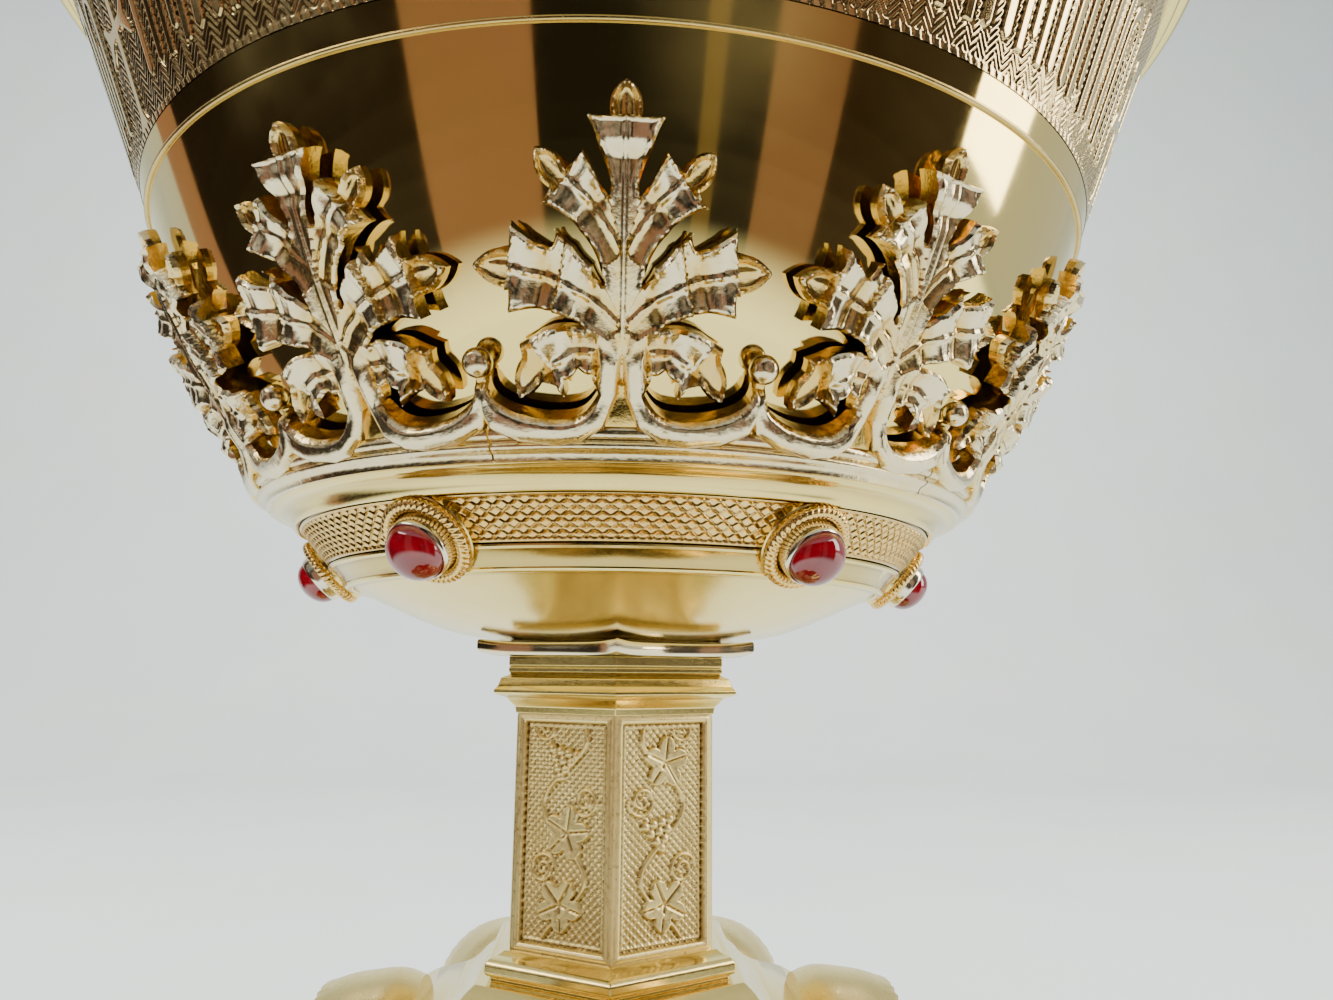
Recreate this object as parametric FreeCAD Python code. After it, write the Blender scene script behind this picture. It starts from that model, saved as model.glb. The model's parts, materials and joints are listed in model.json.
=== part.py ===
import FreeCAD, Part
import math
import os

# Silver-gilt Gothic ciborium, in millimetres. +Z is up, the foot stands on z = 0 and the axis is x = y = 0.
# Angles are measured round the axis from the front (-Y) towards +X.

os.makedirs("parts", exist_ok=True)
Vector = FreeCAD.Vector
UP = Vector(0, 0, 1)

# ---- heights of the stacked pieces, from the table upwards ----
FOOT_RIM_HEIGHT = 8.0
FOOT_HEIGHT = 42.0
LOWER_FOOT_MOULDING = 4.2
LOWER_STEM_LENGTH = 16.2
LOWER_HEAD_MOULDING = 4.0
KNOP_HEIGHT = 20.6
UPPER_FOOT_MOULDING = 2.7
UPPER_STEM_LENGTH = 23.0
NECK_HEIGHT = 5.8
COLLAR_THICKNESS = 1.35
PLATE_THICKNESS = 0.35
CUP_DEPTH = 40.0  # from the wire on the bowl down to the underside of the calyx cup

# ---- hexagonal stem: radius to the corners ----
STEM_CORNER = 11.7
STEM_WALL = 1.6
PANEL_BORDER = 0.9
PANEL_DEPTH = 0.6
PANEL_END_BORDER = 0.7
PLATE_OUTSET = 1.1  # each outset is how far a piece's corners stand out past the stem's
COLLAR_OUTSET = 4.8
COLLAR_HOLLOW = 2.4  # how far each side of the collar curves in
KNOP_CORNER = 28.0
KNOP_NECK_OUTSET = 3.5
KNOP_CAVITY_RADIUS = 14.0
KNOP_BOSS_RADIUS = 10.0
KNOP_BOSS_LEDGE = 1.6  # how far the boss stands out round the plug behind it
KNOP_BOSS_REACH = 30.0
KNOP_BOSS_SEAT = 19.5  # where the boss's back lies, from the axis
KNOP_BOSS_ROOT = 16.0

# ---- bowl and calyx cup: heights are from the wire on the bowl ----
BOWL_RADIUS = 50.0
BOWL_RISE = 30.0
BOWL_WALL = 1.2
RIM_ROLL = 0.9  # how far the rolled rim stands out
BOWL_SEAT_RADIUS = 8.0
WIRE_RADIUS = 0.5
CUP_WALL = 1.2
RING_BOTTOM = -26.8
RING_TOP = -24.2
RING_REACH = 3.55  # how far the ring stands out from the bowl
STRIP_WIDTH = 4.6
STRIP_THICKNESS = 0.45
STRIP_SEAT_DEPTH = 0.4
BAND_TOP = (34.2, -28.9)
BAND_LENGTH = 8.3
BAND_LEAN = math.radians(40.6)  # how far the band's face looks down from level

# ---- leaf cresting ----
LEAVES_PER_SEGMENT = 2
SEGMENTS = 6
LEAF_STANDOFF = 0.7
LEAF_THICKNESS = 1.5
BERRY_RADIUS = 1.1
BERRY_HEIGHT = -20.8
SEAM_GAP = 0.2  # degrees

# ---- jewels ----
JEWELS = 6
JEWEL_SEAT_RISE = 0.3
SETTING_GAP = 0.08
ROPE_WIRE = 0.52
BEZEL_RADIUS = 2.75
BEZEL_WALL = 0.3
BEZEL_HEIGHT = 2.4
BEZEL_FLOOR = 0.7
STONE_DOME = 1.5

# ---- foot ----
FOOT_CUSP = 57.0
FOOT_LOBE = 70.0
FOOT_WALL = 1.6
FOOT_CROWN = 8.0  # thickness of the foot under the stem
FLANGE_SPREAD = 5.0

# ---- tie rod ----
ROD_RADIUS = 3.0
ROD_CLEARANCE = 0.6
BOSS_RADIUS = 6.0
BOSS_LENGTH = 7.5
CLAMP_RADIUS = 13.0
CLAMP_THICKNESS = 1.6
NUT_FLATS_CORNER = 6.5
NUT_HEIGHT = 5.0
ROD_END = 2.0  # rod showing below the nut

# ---- lid: heights are from the bowl's rim ----
LID_OVERHANG = 1.5  # past the bowl's rim
LID_WALL = 1.2
LID_HEIGHT = 44.0
LID_BEZEL_DEPTH = 6.0
LID_BEZEL_WALL = 1.2
LID_CLEARANCE = 0.5
FINIAL_COLLAR_HEIGHT = 6.0
FINIAL_KNOP_HEIGHT = 12.0
CROSS_HEIGHT = 42.0
CROSS_HALF_SPAN = 15.0
CROSS_THICKNESS = 3.6
CROSS_DISC = 5.6
STUD_RADIUS = 2.0
CROSS_STONE_RADIUS = 2.9

# ---- fits ----
SLIP = 0.05  # radial slack between pieces that are soldered or screwed together
WIRE_GAP = 0.05
CUP_GAP = 0.25  # between the bowl and the lip of the cup
SEGMENT_GAP = 0.3  # between the bowl and the ring of the cresting
LOBES = 6

# ---- heights worked out from the above ----
z_lower_foot = FOOT_HEIGHT
z_lower_stem = z_lower_foot + LOWER_FOOT_MOULDING
z_lower_head = z_lower_stem + LOWER_STEM_LENGTH
z_knop = z_lower_head + LOWER_HEAD_MOULDING
z_knop_middle = z_knop + KNOP_HEIGHT / 2
z_upper_foot = z_knop + KNOP_HEIGHT
z_stem = z_upper_foot + UPPER_FOOT_MOULDING
z_neck = z_stem + UPPER_STEM_LENGTH
z_collar = z_neck + NECK_HEIGHT
z_plate = z_collar + COLLAR_THICKNESS
z_cup = z_plate + PLATE_THICKNESS
z_line = z_cup + CUP_DEPTH
z_rim = z_line + BOWL_RISE
z_lid_top = z_rim + LID_HEIGHT
z_finial = z_lid_top + FINIAL_COLLAR_HEIGHT
z_cross = z_finial + FINIAL_KNOP_HEIGHT
foot_ceiling = FOOT_HEIGHT - FOOT_CROWN
BOWL_DEPTH = CUP_DEPTH - CUP_WALL
ROD_BORE = ROD_RADIUS + ROD_CLEARANCE

# ---- sizes that follow a neighbour ----
plate_corner = STEM_CORNER + PLATE_OUTSET
collar_corner = STEM_CORNER + COLLAR_OUTSET
knop_neck_corner = STEM_CORNER + KNOP_NECK_OUTSET
boss_plug = KNOP_BOSS_RADIUS - KNOP_BOSS_LEDGE
rope_radius = BEZEL_RADIUS + SETTING_GAP + ROPE_WIRE
jewel_seat_radius = rope_radius + ROPE_WIRE + SETTING_GAP


def save(name, shape):
    """Write one sub-part to its own STEP file."""
    shape.exportStep("parts/" + name + ".step")


def around(shape, degrees):
    """A copy turned about the vessel's axis."""
    copy = shape.copy()
    copy.rotate(Vector(0, 0, 0), UP, degrees)
    return copy


def on_circle(radius, degrees, z):
    """A point at an angle from the front."""
    angle = math.radians(degrees)
    return Vector(radius * math.sin(angle), -radius * math.cos(angle), z)


def section_points(points, z_shift=0.0):
    """Radius and height pairs as points of the section plane."""
    return [Vector(r, 0, z + z_shift) for r, z in points]


def spline_edge(points):
    curve = Part.BSplineCurve()
    curve.interpolate(points)
    return curve


def turned(edges):
    """The solid of revolution of a closed section, given as edges in order."""
    face = Part.Face(Part.Wire(edges))
    return Part.Solid(face.revolve(Vector(0, 0, 0), UP, 360).Shells[0])


def turned_polygon(points, z_shift=0.0):
    corners = section_points(points, z_shift)
    return turned(Part.makePolygon(corners + corners[:1]).Edges)


def cylinder(radius, bottom, top):
    return Part.makeCylinder(radius, top - bottom, Vector(0, 0, bottom))


def hexagon(corner, z):
    """Six-sided wire with one corner at the front."""
    corners = [on_circle(corner, 60 * side, z) for side in range(LOBES)]
    return Part.makePolygon(corners + corners[:1])


def hexagonal(profile, z_shift=0.0):
    """Six-sided solid whose corners follow (corner radius, height) pairs."""
    return Part.makeLoft([hexagon(r, z + z_shift) for r, z in profile], True, True)


def lobed_wire(cusp, lobe, z):
    """Six arcs that meet at the cusps and pass through the lobes halfway between them."""
    arcs = []
    for side in range(LOBES):
        start = on_circle(cusp, 60 * side, z)
        middle = on_circle(lobe, 60 * side + 30, z)
        end = on_circle(cusp, 60 * side + 60, z)
        arcs.append(Part.Arc(start, middle, end).toShape())
    return Part.Wire(arcs)


def lobed_prism(cusp, lobe, bottom, top):
    face = Part.Face(lobed_wire(cusp, lobe, bottom))
    return face.extrude(Vector(0, 0, top - bottom))


def radius_on(curve, z):
    """Radius at which a section curve that runs downwards passes a height."""
    low, high = curve.FirstParameter, curve.LastParameter
    for _ in range(60):
        middle = (low + high) / 2
        if curve.value(middle).z > z:
            low = middle
        else:
            high = middle
    return curve.value(low).x


def parallel_points(curve, distance, first, last, count):
    """Points beside a section curve, on its outer side for a positive distance."""
    points = []
    for step in range(count):
        share = first + (last - first) * step / (count - 1)
        place = curve.FirstParameter + share * (curve.LastParameter - curve.FirstParameter)
        tangent = curve.tangent(place)[0]
        normal = Vector(-tangent.z, 0, tangent.x)
        points.append(curve.value(place) + normal * distance)
    return points


# ---- bowl ----
# The outside runs from just under the rim down to the small flat seat.
rim_scale = BOWL_RISE / 30.0
side_scale = BOWL_RADIUS / 50.0
side_shift = BOWL_RADIUS - 50.0
BOWL_OUTLINE = [
    (61.6 * side_scale, 28.6 * rim_scale),
    (57.85 * side_scale, 20.0 * rim_scale),
    (53.85 * side_scale, 10.0 * rim_scale),
    (BOWL_RADIUS, 0.0),
    (45.8 + side_shift, -10.0),
    (43.1 + side_shift, -15.0),
    (39.8 + side_shift, -20.0),
    (35.6 + side_shift, -25.0),
    (29.4 + side_shift, -30.8),
    (21.5 * side_scale, 3.5 - BOWL_DEPTH),
    (13.0 * side_scale, 0.6 - BOWL_DEPTH),
    (BOWL_SEAT_RADIUS, -BOWL_DEPTH),
]
bowl_curve = spline_edge(section_points(BOWL_OUTLINE, z_line))
rim_radius = bowl_curve.value(bowl_curve.FirstParameter).x + RIM_ROLL
ring_radius = radius_on(bowl_curve, z_line + RING_TOP - 0.7) + RING_REACH


def make_bowl():
    inner = parallel_points(bowl_curve, -BOWL_WALL, 0.0, 0.985, 14)
    inner_floor = Vector(0, 0, z_line - BOWL_DEPTH + BOWL_WALL)
    inner.append(Vector(BOWL_SEAT_RADIUS * 0.5, 0, inner_floor.z))
    rim_start = bowl_curve.value(bowl_curve.FirstParameter)
    rim_outer = Vector(rim_radius, 0, z_rim)
    rim_bulge = Vector(rim_radius + 0.3, 0, (rim_start.z + z_rim) / 2)
    rim_inner = Vector(inner[0].x, 0, z_rim)
    centre_top = inner_floor
    centre_bottom = Vector(0, 0, z_line - BOWL_DEPTH)
    seat = bowl_curve.value(bowl_curve.LastParameter)
    edges = [
        bowl_curve.toShape(),
        Part.makeLine(seat, centre_bottom),
        Part.makeLine(centre_bottom, centre_top),
        Part.makeLine(centre_top, inner[-1]),
        spline_edge(inner[::-1]).toShape(),
        Part.makeLine(inner[0], rim_inner),
        Part.makeLine(rim_inner, rim_outer),
        Part.Arc(rim_outer, rim_bulge, rim_start).toShape(),
    ]
    return turned(edges)


def make_bowl_wire():
    flare = radius_on(bowl_curve, z_line + 0.5) - radius_on(bowl_curve, z_line - 0.5)
    standoff = (WIRE_RADIUS + WIRE_GAP) * math.hypot(1, flare)
    centre = Vector(BOWL_RADIUS + standoff, 0, z_line)
    ring = Part.makeCircle(WIRE_RADIUS, centre, Vector(0, 1, 0))
    return turned([ring])


def make_rod_boss():
    top = z_line - BOWL_DEPTH
    boss = cylinder(BOSS_RADIUS, top - BOSS_LENGTH, top)
    return boss.cut(cylinder(ROD_RADIUS + SLIP, top - BOSS_LENGTH, top - 1.5))


# ---- calyx cup: band, strip and jewel seats share the leaning face ----
band_down = Vector(-math.sin(BAND_LEAN), 0, -math.cos(BAND_LEAN))
band_out = Vector(math.cos(BAND_LEAN), 0, -math.sin(BAND_LEAN))


def band_point(down, out):
    """A point of the section, by its distance down the band's face and out from it."""
    start = Vector(BAND_TOP[0] + side_shift, 0, z_line + BAND_TOP[1])
    return start + band_down * down + band_out * out


def jewel_place():
    """Placement that stands a piece built upwards from z = 0 on the band, at the front."""
    spot = band_point(BAND_LENGTH / 2, JEWEL_SEAT_RISE)
    outwards = Vector(0, -band_out.x, band_out.z)
    return FreeCAD.Placement(Vector(0, -spot.x, spot.z), FreeCAD.Rotation(UP, outwards))


def at_jewel(shape, number):
    placed = shape.copy()
    placed.Placement = jewel_place()
    return around(placed, 30 + 60 * number)


def make_calyx_cup():
    strip_start = 0.35
    strip_end = strip_start + STRIP_WIDTH + 0.1
    ring_inner = radius_on(bowl_curve, z_line + RING_BOTTOM) + CUP_GAP
    outside = [
        Vector(ring_radius - 1.85, 0, z_line + RING_BOTTOM),
        Vector(ring_radius - 2.35, 0, z_line + RING_BOTTOM - 0.4),
        Vector(ring_radius - 3.5, 0, z_line + RING_BOTTOM - 0.6),
        band_point(-0.5, 0.35),
        band_point(0.0, 0.35),
        band_point(strip_start, 0.1),
        band_point(strip_start, -STRIP_SEAT_DEPTH),
        band_point(strip_end, -STRIP_SEAT_DEPTH),
        band_point(strip_end, 0.0),
        band_point(BAND_LENGTH, 0.0),
        band_point(BAND_LENGTH, -0.7),
    ]
    dish_start = outside[-1]
    dish = spline_edge([
        dish_start,
        Vector(22.5 * side_scale, 0, z_cup + 2.5),
        Vector(18.0 * side_scale, 0, z_cup + 0.9),
        Vector(plate_corner, 0, z_cup),
    ])
    bore = BOSS_RADIUS + SLIP
    inside = [
        Vector(bore, 0, z_cup),
        Vector(bore, 0, z_cup + CUP_WALL),
        Vector(13.5, 0, z_cup + CUP_WALL),
        Vector(20.5 * side_scale, 0, z_cup + 3.0),
        band_point(BAND_LENGTH - 1.2, -1.4),
        band_point(BAND_LENGTH - 3.0, -1.5),
        band_point(0.3, -1.5),
        Vector(ring_inner - 0.2, 0, z_line + RING_BOTTOM - 1.2),
        Vector(ring_inner, 0, z_line + RING_BOTTOM),
    ]
    edges = Part.makePolygon(outside).Edges
    edges.append(dish.toShape())
    edges += Part.makePolygon([dish.value(dish.LastParameter)] + inside + outside[:1]).Edges
    cup = turned(edges)
    depth = 1.0 + JEWEL_SEAT_RISE
    seat = Part.makeCylinder(jewel_seat_radius, depth, Vector(0, 0, -depth))
    for number in range(JEWELS):
        cup = cup.fuse(at_jewel(seat, number))
    return cup.removeSplitter()


def make_trellis_strip():
    start, end = 0.4, 0.4 + STRIP_WIDTH
    low = -STRIP_SEAT_DEPTH
    high = low + STRIP_THICKNESS
    corners = [
        band_point(start, low),
        band_point(start, high),
        band_point(end, high),
        band_point(end, low),
    ]
    strip = turned(Part.makePolygon(corners + corners[:1]).Edges)
    window = Part.makeCylinder(jewel_seat_radius + 0.1, 6, Vector(0, 0, -3))
    for number in range(JEWELS):
        strip = strip.cut(at_jewel(window, number))
    return strip


# ---- leaf cresting ----
# Half of one leaf, from its tip down the right side to the ring: distance from the vein, height.
LEAF_SIDE = [
    (0.95, -6.0), (2.7, -5.9), (1.8, -7.8), (0.9, -9.9), (1.0, -10.5),
    (2.9, -7.8), (4.1, -8.7), (6.1, -7.7), (5.1, -10.0), (5.8, -10.9), (4.5, -11.4), (3.0, -12.5),
    (1.9, -13.9), (1.4, -15.6),
    (2.2, -14.5), (3.5, -13.3), (4.7, -12.4), (5.1, -13.4), (7.9, -11.9), (7.9, -13.3),
    (10.9, -14.0), (8.0, -15.6), (8.1, -16.9), (5.4, -17.0), (3.8, -17.4), (2.7, -18.1),
    (5.9, -18.3), (7.6, -19.0), (7.4, -19.8), (8.2, -20.4), (7.5, -22.0), (5.9, -21.3),
    (4.1, -21.8), (4.1, -20.9), (3.2, -20.4), (2.2, -20.7), (1.7, -21.8),
]
# The scroll that runs from the vein's foot round to the berry's stalk.
SCROLL_SIDE = [(1.7, -21.8), (2.5, -22.7), (4.6, -23.2), (7.4, -22.7), (8.7, -21.6), (9.2, -20.9)]
LEAF_TIP = (0.0, -3.9)


def leaf_shell(inner_gap, outer_gap):
    """Shell round the bowl between two distances from its outside."""
    low_share, high_share = 0.24, 0.72
    outer = parallel_points(bowl_curve, outer_gap, low_share, high_share, 9)
    inner = parallel_points(bowl_curve, inner_gap, low_share, high_share, 9)
    edges = [
        spline_edge(outer).toShape(),
        Part.makeLine(outer[-1], inner[-1]),
        spline_edge(inner[::-1]).toShape(),
        Part.makeLine(inner[0], outer[0]),
    ]
    return turned(edges)


def sector_prism(start, end, bottom, top):
    """Slice of the space round the axis between two angles from the front."""
    reach = 2 * BOWL_RADIUS
    corners = [Vector(0, 0, bottom)] + [on_circle(reach, a, bottom) for a in (start, end)]
    face = Part.Face(Part.makePolygon(corners + corners[:1]))
    return face.extrude(Vector(0, 0, top - bottom))


def make_leaf(shell):
    """One leaf at the front, with its scrolls, cut from the shell by its outline."""
    half_step = 180.0 / (SEGMENTS * LEAVES_PER_SEGMENT)
    edge = (BOWL_RADIUS - 8) * math.tan(math.radians(half_step))
    widen = BOWL_RADIUS / 50.0
    right = [(s * widen, z) for s, z in LEAF_SIDE + SCROLL_SIDE[1:]]
    right += [(edge, SCROLL_SIDE[-1][1]), (edge, RING_BOTTOM + 1.8)]
    outline = [LEAF_TIP] + right + [(-s, z) for s, z in right[::-1]]
    corners = [Vector(s, -BOWL_RADIUS - 6, z_line + z) for s, z in outline]
    face = Part.Face(Part.makePolygon(corners + corners[:1]))
    prism = face.extrude(Vector(0, BOWL_RADIUS * 0.6, 0))
    slice_ = sector_prism(-half_step, half_step, z_line + RING_BOTTOM, z_line)
    return prism.common(shell).common(slice_)


def make_calyx_segment(leaf):
    """Two leaves on one sixth of the ring, with a berry after each leaf."""
    step = 360.0 / (SEGMENTS * LEAVES_PER_SEGMENT)
    sweep = 360.0 / SEGMENTS
    inner_low = radius_on(bowl_curve, z_line + RING_BOTTOM) + SEGMENT_GAP
    inner_high = radius_on(bowl_curve, z_line + RING_TOP) + SEGMENT_GAP
    ring = turned_polygon([
        (inner_low, RING_BOTTOM), (inner_high, RING_TOP), (ring_radius - 1.1, RING_TOP),
        (ring_radius, RING_TOP - 0.7), (ring_radius - 0.3, RING_TOP - 1.4),
        (ring_radius - 1.2, RING_TOP - 2.0), (ring_radius - 1.4, RING_BOTTOM),
    ], z_line)
    segment = ring
    for number in range(LEAVES_PER_SEGMENT):
        segment = segment.fuse(around(leaf, number * step))
    start = -step / 2 + SEAM_GAP / 2
    end = sweep - step / 2 - SEAM_GAP / 2
    segment = segment.common(sector_prism(start, end, z_line - BOWL_DEPTH, z_rim))
    # A berry also covers each seam: it is cast with the segment before the seam.
    reach = radius_on(bowl_curve, z_line + BERRY_HEIGHT) + LEAF_STANDOFF + BERRY_RADIUS
    z = z_line + BERRY_HEIGHT
    for number in range(LEAVES_PER_SEGMENT):
        spot = on_circle(reach, number * step + step / 2, z)
        segment = segment.fuse(Part.makeSphere(BERRY_RADIUS, spot))
    seam_spot = on_circle(reach, -step / 2, z)
    return segment.cut(Part.makeSphere(BERRY_RADIUS + SLIP, seam_spot))


# ---- jewels ----
def make_rope_ring():
    centre = ROPE_WIRE * 0.8
    ring = Part.makeTorus(rope_radius, ROPE_WIRE, Vector(0, 0, centre))
    return ring.cut(cylinder(rope_radius * 2, -ROPE_WIRE, 0))


def make_bezel():
    cup = cylinder(BEZEL_RADIUS, 0, BEZEL_HEIGHT)
    return cup.cut(cylinder(BEZEL_RADIUS - BEZEL_WALL, BEZEL_FLOOR, BEZEL_HEIGHT))


def make_cabochon(radius, bottom, girdle, dome):
    """Stone with a flat back, an upright girdle and a dome that is part of a ball."""
    ball_radius = (radius ** 2 + dome ** 2) / (2 * dome)
    crown = girdle + dome
    ball = Part.makeSphere(ball_radius, Vector(0, 0, crown - ball_radius))
    return ball.common(cylinder(radius, bottom, crown + 1))


# ---- stem, knop and mouldings ----
def bored(solid, radius=ROD_BORE):
    box = solid.BoundBox
    return solid.cut(cylinder(radius, box.ZMin - 1, box.ZMax + 1))


def make_collar():
    apothem = collar_corner * math.cos(math.pi / LOBES)
    return lobed_prism(collar_corner, apothem - COLLAR_HOLLOW, z_collar, z_plate)


def make_neck():
    rise = NECK_HEIGHT
    profile = [
        (STEM_CORNER + 0.2, 0), (STEM_CORNER + 0.9, 0.22 * rise), (STEM_CORNER + 2.8, 0.36 * rise),
        (STEM_CORNER + 2.8, 0.4 * rise), (STEM_CORNER + 2.0, 0.63 * rise),
        (STEM_CORNER + 0.9, 0.69 * rise), (STEM_CORNER + 1.2, 0.72 * rise), (STEM_CORNER + 1.2, rise),
    ]
    return hexagonal(profile, z_neck)


def make_hex_stem(bottom, length, corner):
    """Six-sided tube with a sunk panel on every face."""
    tube = hexagonal([(corner, bottom), (corner, bottom + length)])
    hollow = hexagonal([(corner - STEM_WALL, bottom - 1), (corner - STEM_WALL, bottom + length + 1)])
    tube = tube.cut(hollow)
    apothem = corner * math.cos(math.pi / LOBES)
    width = corner - 2 * PANEL_BORDER
    height = length - 2 * PANEL_END_BORDER
    corner_point = Vector(-width / 2, -apothem - 1, bottom + PANEL_END_BORDER)
    panel = Part.makeBox(width, PANEL_DEPTH + 1, height, corner_point)
    for side in range(LOBES):
        tube = tube.cut(around(panel, 30 + 60 * side))
    return tube


def make_upper_foot():
    rise = UPPER_FOOT_MOULDING
    profile = [
        (STEM_CORNER + 1.9, 0), (STEM_CORNER + 1.9, 0.18 * rise), (STEM_CORNER + 2.6, 0.3 * rise),
        (STEM_CORNER + 2.6, 0.66 * rise), (STEM_CORNER + 2.2, 0.8 * rise), (STEM_CORNER + 0.5, rise),
    ]
    return hexagonal(profile, z_upper_foot)


def make_knop_half():
    """Upper half of the knop, standing on z = 0, with half of each boss socket."""
    half = KNOP_HEIGHT / 2
    reach = KNOP_CORNER - knop_neck_corner
    solid = hexagonal([
        (KNOP_CORNER, 0), (KNOP_CORNER, 0.22 * half), (KNOP_CORNER - 0.08 * reach, 0.5 * half),
        (KNOP_CORNER - 0.39 * reach, 0.83 * half), (knop_neck_corner, half),
    ])
    solid = solid.cut(cylinder(KNOP_CAVITY_RADIUS, -1, half - 2))
    solid = bored(solid)
    plug_length = KNOP_BOSS_SEAT - KNOP_BOSS_ROOT + 1
    outwards = Vector(0, -1, 0)
    plug_start = Vector(0, -KNOP_BOSS_ROOT, 0)
    plug = Part.makeCylinder(boss_plug + SLIP, plug_length, plug_start, outwards)
    seat_start = Vector(0, -KNOP_BOSS_SEAT, 0)
    seat = Part.makeCylinder(KNOP_BOSS_RADIUS + SLIP, KNOP_CORNER, seat_start, outwards)
    socket = plug.fuse(seat)
    for side in range(LOBES):
        solid = solid.cut(around(socket, 30 + 60 * side))
    return solid


def make_knop_boss():
    """Round boss with a swelling side, a raised rim and a sunk face that holds a low button."""
    radius, seat, reach = KNOP_BOSS_RADIUS, KNOP_BOSS_SEAT, KNOP_BOSS_REACH
    side_points = section_points([
        (radius * 0.9, seat), (radius, seat + 2.2), (radius * 0.98, seat + 5.0), (radius * 0.84, reach - 0.8),
    ])
    side = spline_edge(side_points)
    edges = Part.makePolygon(section_points([
        (0, KNOP_BOSS_ROOT), (boss_plug, KNOP_BOSS_ROOT), (boss_plug, seat), (radius * 0.9, seat),
    ])).Edges
    edges.append(side.toShape())
    edges += Part.makePolygon(section_points([
        (radius * 0.84, reach - 0.8), (radius * 0.78, reach), (radius * 0.7, reach - 0.3),
        (radius * 0.64, reach - 1.4), (radius * 0.3, reach - 1.4), (radius * 0.2, reach - 0.7),
        (0, reach - 0.5), (0, KNOP_BOSS_ROOT),
    ])).Edges
    boss = turned(edges)
    boss.rotate(Vector(0, 0, 0), Vector(1, 0, 0), 90)
    boss.translate(Vector(0, 0, z_knop_middle))
    return boss


def make_lower_head():
    rise = LOWER_HEAD_MOULDING
    profile = [
        (STEM_CORNER + 0.6, 0), (STEM_CORNER + 2.3, 0.3 * rise), (STEM_CORNER + 2.6, 0.45 * rise),
        (STEM_CORNER + 2.6, 0.75 * rise), (STEM_CORNER + 1.9, 0.85 * rise), (STEM_CORNER + 1.9, rise),
    ]
    return hexagonal(profile, z_lower_head)


def make_lower_foot():
    rise = LOWER_FOOT_MOULDING
    profile = [
        (STEM_CORNER + 3.0, 0), (STEM_CORNER + 3.0, 0.3 * rise), (STEM_CORNER + 1.6, 0.5 * rise),
        (STEM_CORNER + 1.6, 0.62 * rise), (STEM_CORNER + 0.5, rise),
    ]
    return hexagonal(profile, z_lower_foot)


# ---- foot ----
def foot_sections(shrink, drop, top_height):
    """Lobed sections from the rim of the foot up to its neck."""
    neck = STEM_CORNER + 2.6
    rise = FOOT_HEIGHT - FOOT_RIM_HEIGHT
    steps = [(0.0, 1.0, 1.0), (0.09, 0.86, 0.86), (0.24, 0.63, 0.615), (0.44, 0.38, 0.35),
             (0.68, 0.15, 0.125), (1.0, 0.0, 0.0)]
    wires = []
    for height, cusp_share, lobe_share in steps:
        z = FOOT_RIM_HEIGHT + rise * height - drop * min(1.0, height * 12)
        cusp = neck + (FOOT_CUSP - neck) * cusp_share - shrink
        lobe = neck * 0.9 + (FOOT_LOBE - neck * 0.9) * lobe_share - shrink
        if z < top_height:
            wires.append(lobed_wire(cusp, lobe, z))
    return wires


def make_foot():
    outside = Part.makeLoft(foot_sections(0, 0, FOOT_HEIGHT + 1), True, False)
    inside = Part.makeLoft(foot_sections(FOOT_WALL, FOOT_WALL, foot_ceiling), True, False)
    top_wire_height = inside.BoundBox.ZMax
    well = cylinder(CLAMP_RADIUS + 0.6, top_wire_height - 1, foot_ceiling)
    foot = outside.cut(inside).cut(well)
    return bored(foot)


def make_foot_flange():
    """Spreading base plate, upright gallery wall and the ledge that carries the foot."""
    base = lobed_prism(FOOT_CUSP + FLANGE_SPREAD - 0.5, FOOT_LOBE + FLANGE_SPREAD, 0, 2.2)
    wall = lobed_prism(FOOT_CUSP + 1.5, FOOT_LOBE + 2.0, 2.2, FOOT_RIM_HEIGHT - 1.4)
    ledge = lobed_prism(FOOT_CUSP + 3.0, FOOT_LOBE + 3.5, FOOT_RIM_HEIGHT - 1.4, FOOT_RIM_HEIGHT)
    hole = lobed_prism(FOOT_CUSP - 3.0, FOOT_LOBE - 3.0, -1, FOOT_RIM_HEIGHT + 1)
    return base.fuse(wall).fuse(ledge).cut(hole).removeSplitter()


# ---- tie rod ----
def make_tie_rod():
    top = z_line - BOWL_DEPTH - 1.5
    bottom = foot_ceiling - CLAMP_THICKNESS - NUT_HEIGHT - ROD_END
    return cylinder(ROD_RADIUS, bottom, top)


def make_clamp_washer():
    washer = cylinder(CLAMP_RADIUS, foot_ceiling - CLAMP_THICKNESS, foot_ceiling)
    return bored(washer, ROD_RADIUS + SLIP)


def make_tie_nut():
    top = foot_ceiling - CLAMP_THICKNESS
    nut = hexagonal([(NUT_FLATS_CORNER, top - NUT_HEIGHT), (NUT_FLATS_CORNER, top)])
    return bored(nut, ROD_RADIUS + SLIP)


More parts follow.
